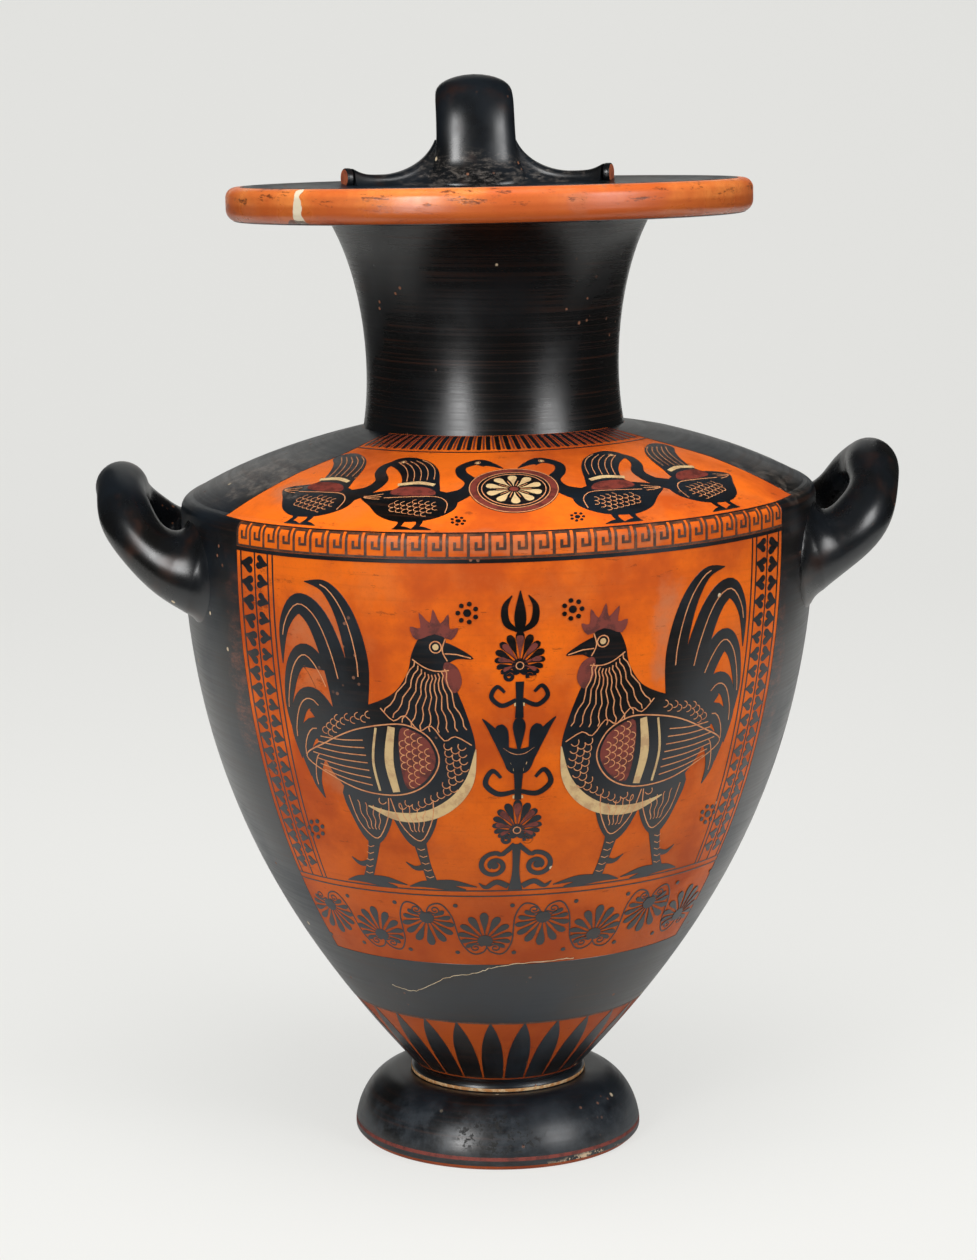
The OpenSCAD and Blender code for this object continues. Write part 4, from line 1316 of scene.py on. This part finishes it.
def cock(needle):
    """A standing cock that faces right, its feet at y 0, about 140 mm tall."""
    d = Drawing()
    d.slip.append(smooth_loop([(30, 113), (31.5, 118.5), (27, 122), (21, 120), (17, 113), (14.5, 104), (8, 95),
                               (-3, 89.5), (-14, 87), (-24, 85), (-31, 76), (-28, 62), (-19, 49), (-8, 40), (5, 36.5),
                               (19, 37.5), (31, 45), (39, 57), (41.5, 72), (38.5, 87), (34.5, 99), (33, 107)]))
    d.slip.append(smooth_loop([(30, 117), (36, 115.4), (43, 110.4), (36, 110.2), (30, 108)], 4))
    # tail: sickles that sweep up and over, with short ones under them
    sickles = [([(-15, 82), (-19, 106), (-27, 125), (-37, 131), (-45, 121), (-47, 104)], [11, 12, 11, 9, 5.5, 0.4]),
               ([(-19, 82), (-26, 100), (-34, 109), (-41, 103), (-45, 88), (-45, 76)], [11, 11, 10, 8, 4.6, 0.4]),
               ([(-22, 78), (-31, 89), (-38, 87), (-42, 75), (-41, 61)], [11, 11, 8.5, 6, 0.4]),
               ([(-24, 74), (-33, 76), (-38, 67), (-37, 53)], [10, 9.5, 7, 0.4]),
               ([(-26, 67), (-32, 63), (-34, 52), (-31, 43)], [9, 8, 5, 0.4]),
               ([(-9, 86), (-8, 107), (-13, 127), (-22, 139), (-33, 141)], [9, 10.5, 9, 5.5, 0.4])]
    for points, widths in sickles:
        d.slip.append(brush(points, widths))
        d.lines.append((smooth_line(points, 4)[3:-3], needle))
    # legs: feathered thighs, ringed shanks with a spur, and long toes
    for x, stride in ((11, 4), (-9, -7)):
        d.slip.append(smooth_loop([(x - 11, 50), (x + 12, 50), (x + 10.5, 36), (x + 4.5, 24.5), (x - 2, 22.5),
                                   (x - 8, 33)], 4))
        foot = (x + stride, 2.6)
        d.slip.append(brush([(x + 1, 28), (x + stride * 0.45 + 0.5, 14), foot], [6.4, 4.4, 4.6]))
        for tip, mid in (((19, 0.9), (9, 3.6)), ((14, -0.6), (7, 1.2)), ((-11, 0.2), (-5, 2.4))):
            d.slip.append(brush([foot, (foot[0] + mid[0], mid[1]), (foot[0] + tip[0], tip[1] + 0.6)], [4.2, 3.2, 0.4]))
        d.slip.append(brush([(x + stride * 0.6, 12), (x + stride * 0.6 - 5, 11), (x + stride * 0.6 - 9, 14)],
                            [3.4, 2.2, 0.3]))
        for k in range(5):
            y = 7 + 3.6 * k
            mid = x + stride * (1 - y / 32)
            d.lines.append(([(mid - 1.5, y), (mid, y - 0.8), (mid + 1.9, y)], needle * 0.8))
        d.lines.append((smooth_line([(x - 9, 46), (x - 6, 34), (x - 0.6, 26.5), (x + 3.6, 26.6), (x + 8.8, 37),
                                     (x + 10, 46)], 3), needle))
        for k in range(4):
            d.lines.append((wavy([(x - 5 + 3.6 * k, 44 - k), (x - 3.2 + 2.6 * k, 36), (x - 0.8 + 1.5 * k, 30)], 0.4, 2),
                            needle * 0.8))
    # comb and wattle
    d.red.append(smooth_loop([(19, 118.5), (16.5, 124), (21, 123.5), (20.5, 130), (25, 125.8), (26.5, 131.5),
                              (29.5, 125.6), (33, 129.5), (33.4, 123.2), (37, 123.6), (34, 118.6), (27, 121)], 3))
    d.red.append(smooth_loop([(31.5, 109), (36, 106.5), (37.6, 100), (34.4, 95.4), (30.8, 99.6), (30, 106)], 4))
    d.cream.append(ring(27.2, 115.4, 1.35, 10))
    d.lines += [(ring(27.2, 115.4, 2.5, 14) + [(29.7, 115.4)], needle),
                ([(31, 112.6), (36, 112.3), (42, 110.6)], needle),
                (smooth_line([(31.4, 119), (30, 114), (32, 109.4)], 4), needle)]
    # neck hackles over a scalloped hem
    for k in range(10):
        t = k / 9
        top = (18.0 + 12.6 * t, 109 - 3 * t - 4 * sin(pi * t))
        low = (3 + 35.5 * t, 86 - 4 * sin(pi * t) - 7 * t)
        mid = ((top[0] + low[0]) / 2 + 2.0 * (0.5 - t), (top[1] + low[1]) / 2)
        d.lines.append((wavy([top, mid, low], 0.55, 3), needle))
    d.lines.append((smooth_line([(17, 110), (22, 106.6), (27, 105), (32.4, 105.4)], 4), needle))
    hem = [(1.5, 88), (7, 82.5), (12.4, 85), (18, 78.4), (23.5, 80.6), (28.6, 74), (33.4, 76), (40, 72)]
    d.lines.append((smooth_line(hem, 3), needle))
    # wing: red shoulder, cream bands, long quills
    wing = smooth_loop([(23, 74), (25.5, 64), (19, 53.5), (7, 48), (-9, 48.5), (-24, 54), (-38, 62.5), (-27, 70),
                        (-11, 77.5), (7, 81), (16, 79.5)])
    patch_red = smooth_loop([(22, 73), (24, 64), (18.4, 55), (10.5, 51.2), (8.4, 64), (9.6, 78.6), (16, 77.8)], 4)
    d.lines.append((wing + wing[:1], needle * 1.2))
    d.red.append(patch_red)
    d.lines += [(p, needle * 0.8) for p in scales(patch_red, 3.4, radians(-90))]
    d.cream.append(brush([(5.8, 79.6), (3.4, 64), (5.2, 49.2)], [3.2, 4.0, 3.2]))
    d.cream.append(brush([(-1.4, 78.8), (-4.0, 63.6), (-2.4, 49.4)], [1.0, 1.1, 1.0]))
    for k in range(7):
        y, x, end = 51.8 + 3.5 * k, -5.6 - 0.4 * k, (-24 - 1.7 * (6 - abs(k - 3)), 57.2 + 2.6 * k)
        d.lines.append((smooth_line([(x, y), ((x + end[0]) / 2, (y + end[1]) / 2 - 0.6), end], 5), needle))
    # scaled breast, belly and rump, with a broad cream stripe under them
    breast = smooth_loop([(39.6, 74), (37.6, 60), (30, 48.4), (19, 41.6), (6, 40.4), (-8, 44), (-4, 46), (9, 45.6),
                          (21, 50.4), (28, 62), (26.6, 74), (33, 73.6)], 4)
    d.lines += [(p, needle * 0.8) for p in scales(breast, 3.5, radians(-30))]
    rump = smooth_loop([(-1, 88), (-13, 85), (-24, 82.6), (-28.4, 76), (-26, 71.6), (-11, 79.6), (1, 83)], 4)
    d.lines += [(p, needle * 0.8) for p in scales(rump, 3.2, radians(-80))]
    d.cream.append(brush([(41.6, 70), (37.8, 55.6), (29.4, 44.8), (17.4, 38.2), (4, 37.2), (-9, 41.6)],
                         [0.5, 3.6, 4.8, 4.8, 4.0, 0.5]))
    return d


def lotus(needle, wide=13.0):
    """A closed-cup lotus flower, its foot at the origin."""
    d = Drawing()
    d.slip.append(smooth_loop([(0, 0), (4.4, 2), (7, 8), (wide, 21), (wide + 2.4, 26), (8.6, 20), (6.4, 14), (0, 12),
                               (-6.4, 14), (-8.6, 20), (-wide - 2.4, 26), (-wide, 21), (-7, 8), (-4.4, 2)], 5))
    for x, lean in ((0, 0), (4.6, -0.28), (-4.6, 0.28)):
        d.slip.append(spun(drop(20 if x == 0 else 18, 5.4, 6), lean, (x * 0.35, 0)))
    d.red.append(drop(13.6, 3.2, 9.5))
    d.cream += [brush([(x * 0.52, 4.6), (x, 10.5), (x * 1.72, 19.6)], [1.0, 1.7, 0.5]) for x in (-6.6, 6.6)]
    d.lines.append((smooth_line([(-6.4, 12.4), (-3, 10.0), (0, 9.4), (3, 10.0), (6.4, 12.4)], 4), needle))
    return d


def flower_stem(needle):
    """An upright chain of flowers and volutes, 138 mm tall, for the middle of the picture."""
    d = Drawing()
    petals, lines = palmette_drawing(13, 12.6, 3.7, 106)
    for y in (31, 107):
        for i, p in enumerate(petals):
            d.slip.append([(x, y + v) for x, v in p])
            if i < 13 and i % 2 == 0:
                d.red.append([(x * 0.86, y + v * 0.86 + 0.6) for x, v in p])
        d.slip += [brush([(x, y + v) for x, v in p], [1.5] * len(p), 2) for p in lines]
        d.lines += [(ring(0, y, 1.6, 12) + [(1.6, y)], needle)]
    # a volute, a low leaf, two curls and a bud on each side
    volute = [(0.8, 24)] + spiral(9.2, 13, 6.8, 1.4, radians(120), -1.45, 26)
    sprays = [([(3, 1.8), (8, 4.2), (12.5, 1.4), (15.6, 3.8)], [2.8, 2.6, 2.0, 0.4]),
              ([(1.4, 50), (8.4, 49), (13.8, 54), (11, 60), (7.2, 56.6)], [2.0, 2.4, 2.3, 2.0, 1.3]),
              ([(1.4, 92), (7.4, 89.6), (11.8, 93.6), (9.4, 98), (6.2, 95.4)], [1.8, 2.0, 1.9, 1.7, 1.2]),
              ([(1.0, 122), (5.6, 125.4), (6.4, 132), (3.4, 137)], [1.4, 3.0, 2.6, 0.4])]
    for flip in (-1, 1):
        d.slip.append(brush([(flip * x, y) for x, y in volute], [2.2] * len(volute), 2))
        d.slip.append(ring(flip * 9.2, 13, 1.8, 12))
        d.slip += [brush([(flip * x, y) for x, y in points], widths) for points, widths in sprays]
    d.slip += [brush([(0, y) for y in heights], widths) for heights, widths in (
        ((0, 10, 24), (6.0, 3.0, 3.8)), ((46, 52, 62), (3.0, 3.0, 4.4)),
        ((84, 92, 100), (3.6, 3.0, 3.6)), ((120, 128, 139), (2.0, 5.0, 0.4)))]
    d.add(lotus(needle).moved(lambda p: [(x, y + 58) for x, y in p]))
    for y in (47.4, 60.4, 90.0):
        d.cream.append(box(-2.2, y - 0.7, 2.2, y + 0.7))
    return d


def rosette(x, y, size):
    """A filling flower of dots."""
    return [ring(x, y, size * 0.34, 10)] + [ring(x + size * 0.78 * cos(a), y + size * 0.78 * sin(a), size * 0.21, 8)
                                            for a in (2 * pi * k / 7 for k in range(7))]


class HYDRIA_OT_picture(bpy.types.Operator):
    """Paint the picture: two cocks that face a tall chain of flowers."""
    bl_idname = "hydria.picture"
    bl_label = "Picture"

    def execute(self, context):
        needle = context.scene.hydria_sizes.needle / MM
        ground = skin_distance(FIELD_Z + 0.6)
        picture = Drawing()
        bird = cock(needle)
        picture.add(bird.placed(radians(-25.2), ground))
        picture.add(bird.placed(radians(25.2), ground, -1))
        picture.add(flower_stem(needle).placed(0.0, ground))
        fill = Drawing()
        for flip in (-1, 1):
            fill.slip += [[(flip * x, y) for x, y in p] for p in rosette(94, 26, 5.4) + rosette(22, 130, 5.0)]
        picture.add(fill.placed(0.0, ground))
        picture.laid("picture")
        return {"FINISHED"}


def swan(needle):
    """A swan that faces right with a lifted wing, its feet at y 0, about 62 mm tall."""
    d = Drawing()
    d.slip.append(smooth_loop([(-27, 24), (-17, 29.5), (-4, 32), (8, 30), (16, 24), (17, 15), (9, 8), (-4, 6),
                               (-14, 9.6), (-21, 17)]))
    d.slip.append(brush([(10, 22), (18, 29), (18.6, 38), (12.4, 46), (10.6, 53), (15.6, 58), (21, 55.6)],
                        [13, 8, 5.6, 4.6, 4.4, 5.2, 5.0]))
    d.slip.append(brush([(20, 56.4), (24, 54.4), (28.6, 51)], [4.0, 2.5, 0.4]))
    d.slip.append(smooth_loop([(6, 27), (4.6, 39), (1, 50), (-5, 58), (-14, 62), (-21, 60), (-23.5, 54.5), (-18, 49.5),
                               (-13.6, 42.5), (-11.6, 35), (-13, 27)]))
    for k in range(5):
        d.lines.append((smooth_line([(-9.8 + 2.9 * k, 38 + 0.6 * k), (-11.4 + 2.8 * k, 45 + 1.0 * k),
                                     (-14.6 + 2.6 * k, 51.5 + 1.1 * k), (-19.4 + 2.6 * k, 56.4 + 0.8 * k)], 4),
                        needle * 0.9))
    d.red.append(smooth_loop([(5, 26.6), (3.2, 31.6), (-4, 33.6), (-12.4, 32), (-13, 26.4)], 4))
    d.cream.append(brush([(3.4, 35.4), (-4, 37.2), (-13, 35)], [2.0, 2.4, 2.0]))
    d.lines.append((smooth_line([(14, 12.6), (13, 20), (7.6, 25), (-3, 25), (-16, 23.4)], 5), needle * 0.9))
    d.lines += [(p, needle * 0.7) for p in scales(smooth_loop(
        [(12, 13), (11, 20), (4, 23), (-8, 22), (-15, 18.4), (-9, 11.6), (2, 8.6)], 4), 3.2, radians(-70))]
    for k in range(3):
        quill = [(-17 - 0.4 * k, 26.6 - 2.2 * k), (-22, 24.6 - 1.2 * k), (-25.6, 23.8 - 0.4 * k)]
        d.lines.append((smooth_line(quill, 3), needle * 0.8))
    d.lines.append((ring(16.2, 57, 1.2, 8) + [(17.4, 57)], needle * 0.8))
    d.cream.append(ring(16.2, 57, 0.65, 8))
    for x in (-4, 4):
        d.slip.append(brush([(x, 9), (x + 0.8, 5), (x - 0.6, 0.8)], [4.2, 2.4, 2.2]))
        d.slip.append(brush([(x - 2.0, 0.9), (x + 2, 1.8), (x + 7, 0.7)], [0.5, 2.4, 0.4]))
    return d


def round_flower(needle, sides=72, share=6):
    """A disc with rings and a round flower, 38 mm across, its middle at the origin; the red hoop is laid in shares."""
    d = Drawing()
    d.slip.append(ring(0, 0, 19.2, sides))
    outer, inner = ring(0, 0, 18.4, sides), ring(0, 0, 15.8, sides)
    for k in range(0, sides, share):
        part = [(k + j) % sides for j in range(share + 1)]
        d.red.append([outer[j] for j in part] + [inner[j] for j in part[::-1]])
    d.lines += [(ring(0, 0, r, 60) + [(r, 0)], needle) for r in (15.3, 18.8, 13.6)]
    for k in range(10):
        d.cream.append(spun(drop(9.4, 3.9, 2.6), 2 * pi * k / 10))
        d.lines.append((spun([(0, 2.8), (0, 7.4)], 2 * pi * (k + 0.5) / 10), needle * 0.8))
    d.red.append(ring(0, 0, 2.0, 16))
    return d


class HYDRIA_OT_shoulder_picture(bpy.types.Operator):
    """Paint the shoulder: a round flower between four swans."""
    bl_idname = "hydria.shoulder_picture"
    bl_label = "Shoulder picture"

    def execute(self, context):
        needle = context.scene.hydria_sizes.needle / MM
        ground = KEY_TOP + 2.2
        picture = Drawing()
        bird = swan(needle)
        for angle, flip in ((-42.0, 1), (-19.8, 1), (19.8, -1), (42.0, -1)):
            picture.add(bird.placed(radians(angle), ground, flip))
        picture.add(round_flower(needle).placed(0.0, ground + 31.0))
        fill = Drawing()
        fill.slip += rosette(-25, 7, 3.4) + rosette(25, 7, 3.4)
        picture.add(fill.placed(0.0, ground))
        picture.laid("shoulder_picture")
        return {"FINISHED"}


# Stage: pale paper sweep, soft studio light and the camera.

class HYDRIA_OT_stage(bpy.types.Operator):
    """Set the pale paper sweep, the soft lights and the camera."""
    bl_idname = "hydria.stage"
    bl_label = "Stage"

    def execute(self, context):
        scene = context.scene
        bpy.ops.object.select_all(action="DESELECT")
        bpy.ops.mesh.primitive_grid_add(x_subdivisions=1, y_subdivisions=60, size=1)
        sweep = name_piece(context.active_object, "paper_sweep")
        for v in sweep.data.vertices:
            v.co = sweep_point(v.co.x, v.co.y + 0.5)
        edit(sweep, lambda: bpy.ops.mesh.normals_make_consistent(inside=False))
        material, tree, shader, place = new_material("matt background paper")
        fibre = noise(tree, place, 1.111, 2)
        paper = blend(tree, times(tree, fibre, 0.3), hex_colour(scene.hydria_colours.backdrop), hex_colour("#e6e6e3"))
        tree.links.new(paper, shader.inputs["Base Color"])
        shader.inputs["Roughness"].default_value = 0.95
        shader.inputs["Specular IOR Level"].default_value = 0.1
        # seen straight, the paper glows evenly, and keeps part of the jar's shadow; the gloss sees less of the glow
        rays = add_node(tree, "ShaderNodeLightPath")
        seen = times(tree, rays.outputs["Is Camera Ray"], times(tree, rays.outputs["Is Glossy Ray"], 0.2), "ADD")
        glow = add_node(tree, "ShaderNodeEmission", {"Color": paper, "Strength": 1.03})
        mixed = add_node(tree, "ShaderNodeMixShader", {"Fac": times(tree, seen, 0.8), 1: shader.outputs[0],
                                                       2: glow.outputs[0]})
        tree.links.new(mixed.outputs[0], tree.nodes["Material Output"].inputs["Surface"])
        sweep.data.materials.append(material)
        pick(sweep)
        bpy.ops.object.shade_smooth()

        # each light's place, what it looks at and its size in metres, and its power in watts
        for name, place, target, size, watts in (
                ("left box", (-1.06, -1.58, 0.85), (0, 0, 0.34), (0.5, 1.1), 27.0),
                ("right box", (1.42, -1.28, 0.92), (0, 0, 0.34), (0.66, 0.9), 20.5),
                ("top box", (0.0, -0.55, 2.05), (0, 0, 0.2), (1.4, 1.2), 40.0)):
            lamp = bpy.data.lights.new(name, "AREA")
            lamp.shape, lamp.size, lamp.size_y, lamp.energy = "RECTANGLE", size[0], size[1], watts
            made = bpy.data.objects.new(name, lamp)
            scene.collection.objects.link(made)
            made.location = place
            made.rotation_euler = (Vector(target) - Vector(place)).to_track_quat("-Z", "Y").to_euler()
            # the light from above only fills: the gloss shows the two boxes in front
            made.visible_glossy = name != "top box"

        world = bpy.data.worlds.new("room")
        world.use_nodes = True
        # straight on, the room is as pale as the paper; for light and reflections it is dim
        room = world.node_tree
        rays = add_node(room, "ShaderNodeLightPath")
        room.nodes["Background"].inputs["Color"].default_value = hex_colour(scene.hydria_colours.backdrop)
        room.links.new(times(room, times(room, rays.outputs["Is Camera Ray"], 0.88),
                             times(room, times(room, rays.outputs["Is Glossy Ray"], -0.08), 0.12, "ADD"), "ADD"),
                       room.nodes["Background"].inputs["Strength"])
        scene.world = world
        scene.view_settings.view_transform = "Standard"

        # the camera stands in metres and degrees, fitted to the jar's outlines
        camera = bpy.data.cameras.new("camera")
        camera.lens, camera.sensor_width, camera.sensor_fit = 94.94, 36.0, "AUTO"
        camera.clip_end = 50.0
        made = bpy.data.objects.new("camera", camera)
        made.location = (-0.0958, -1.4939, 0.505)
        made.rotation_euler = (radians(79.81), 0.0, radians(-3.5))
        scene.collection.objects.link(made)
        scene.camera = made
        return {"FINISHED"}


def sweep_point(x, t):
    """A point on the paper, in metres: flat floor, a wide bend, then upright; t runs from the front to the top."""
    front, floor, bend, upright, wide, sunk = -0.27, 1.87, 1.4, 3.0, 1.9, 0.0002
    arc = bend * pi / 2
    d = t * (floor + arc + upright)
    if d < floor:
        y, z = front + d, 0.0
    elif d < floor + arc:
        a = (d - floor) / bend
        y, z = front + floor + bend * sin(a), bend * (1 - cos(a))
    else:
        y, z = front + floor + bend, bend + d - floor - arc
    return x * wide, y, z - sunk


class HYDRIA_PT_panel(bpy.types.Panel):
    """The jar's steps, in the order they are made."""
    bl_idname = "HYDRIA_PT_panel"
    bl_label = "Painted Hydria"
    bl_space_type = "VIEW_3D"
    bl_region_type = "UI"
    bl_category = "Hydria"

    def draw(self, context):
        layout = self.layout
        for group in (context.scene.hydria_sizes, context.scene.hydria_colours):
            for key in group.__annotations__:
                layout.prop(group, key)
        for step in STEPS:
            layout.operator(step.bl_idname)


STEPS = (HYDRIA_OT_stage, HYDRIA_OT_thrown, HYDRIA_OT_handles, HYDRIA_OT_slip, HYDRIA_OT_bands, HYDRIA_OT_ivy,
         HYDRIA_OT_frieze, HYDRIA_OT_picture, HYDRIA_OT_shoulder_picture, HYDRIA_OT_wear)
CLASSES = (HydriaColours, HydriaSizes, *STEPS, HYDRIA_PT_panel)


def register():
    for each in CLASSES:
        bpy.utils.register_class(each)
    bpy.types.Scene.hydria_colours = PointerProperty(type=HydriaColours)
    bpy.types.Scene.hydria_sizes = PointerProperty(type=HydriaSizes)


def unregister():
    del bpy.types.Scene.hydria_colours
    del bpy.types.Scene.hydria_sizes
    for each in reversed(CLASSES):
        bpy.utils.unregister_class(each)


def main():
    register()
    for step in STEPS:
        operator = getattr(bpy.ops.hydria, step.bl_idname.split(".")[1])
        if operator() != {"FINISHED"}:
            raise RuntimeError(step.bl_idname)
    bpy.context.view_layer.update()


if __name__ == "__main__":
    main()
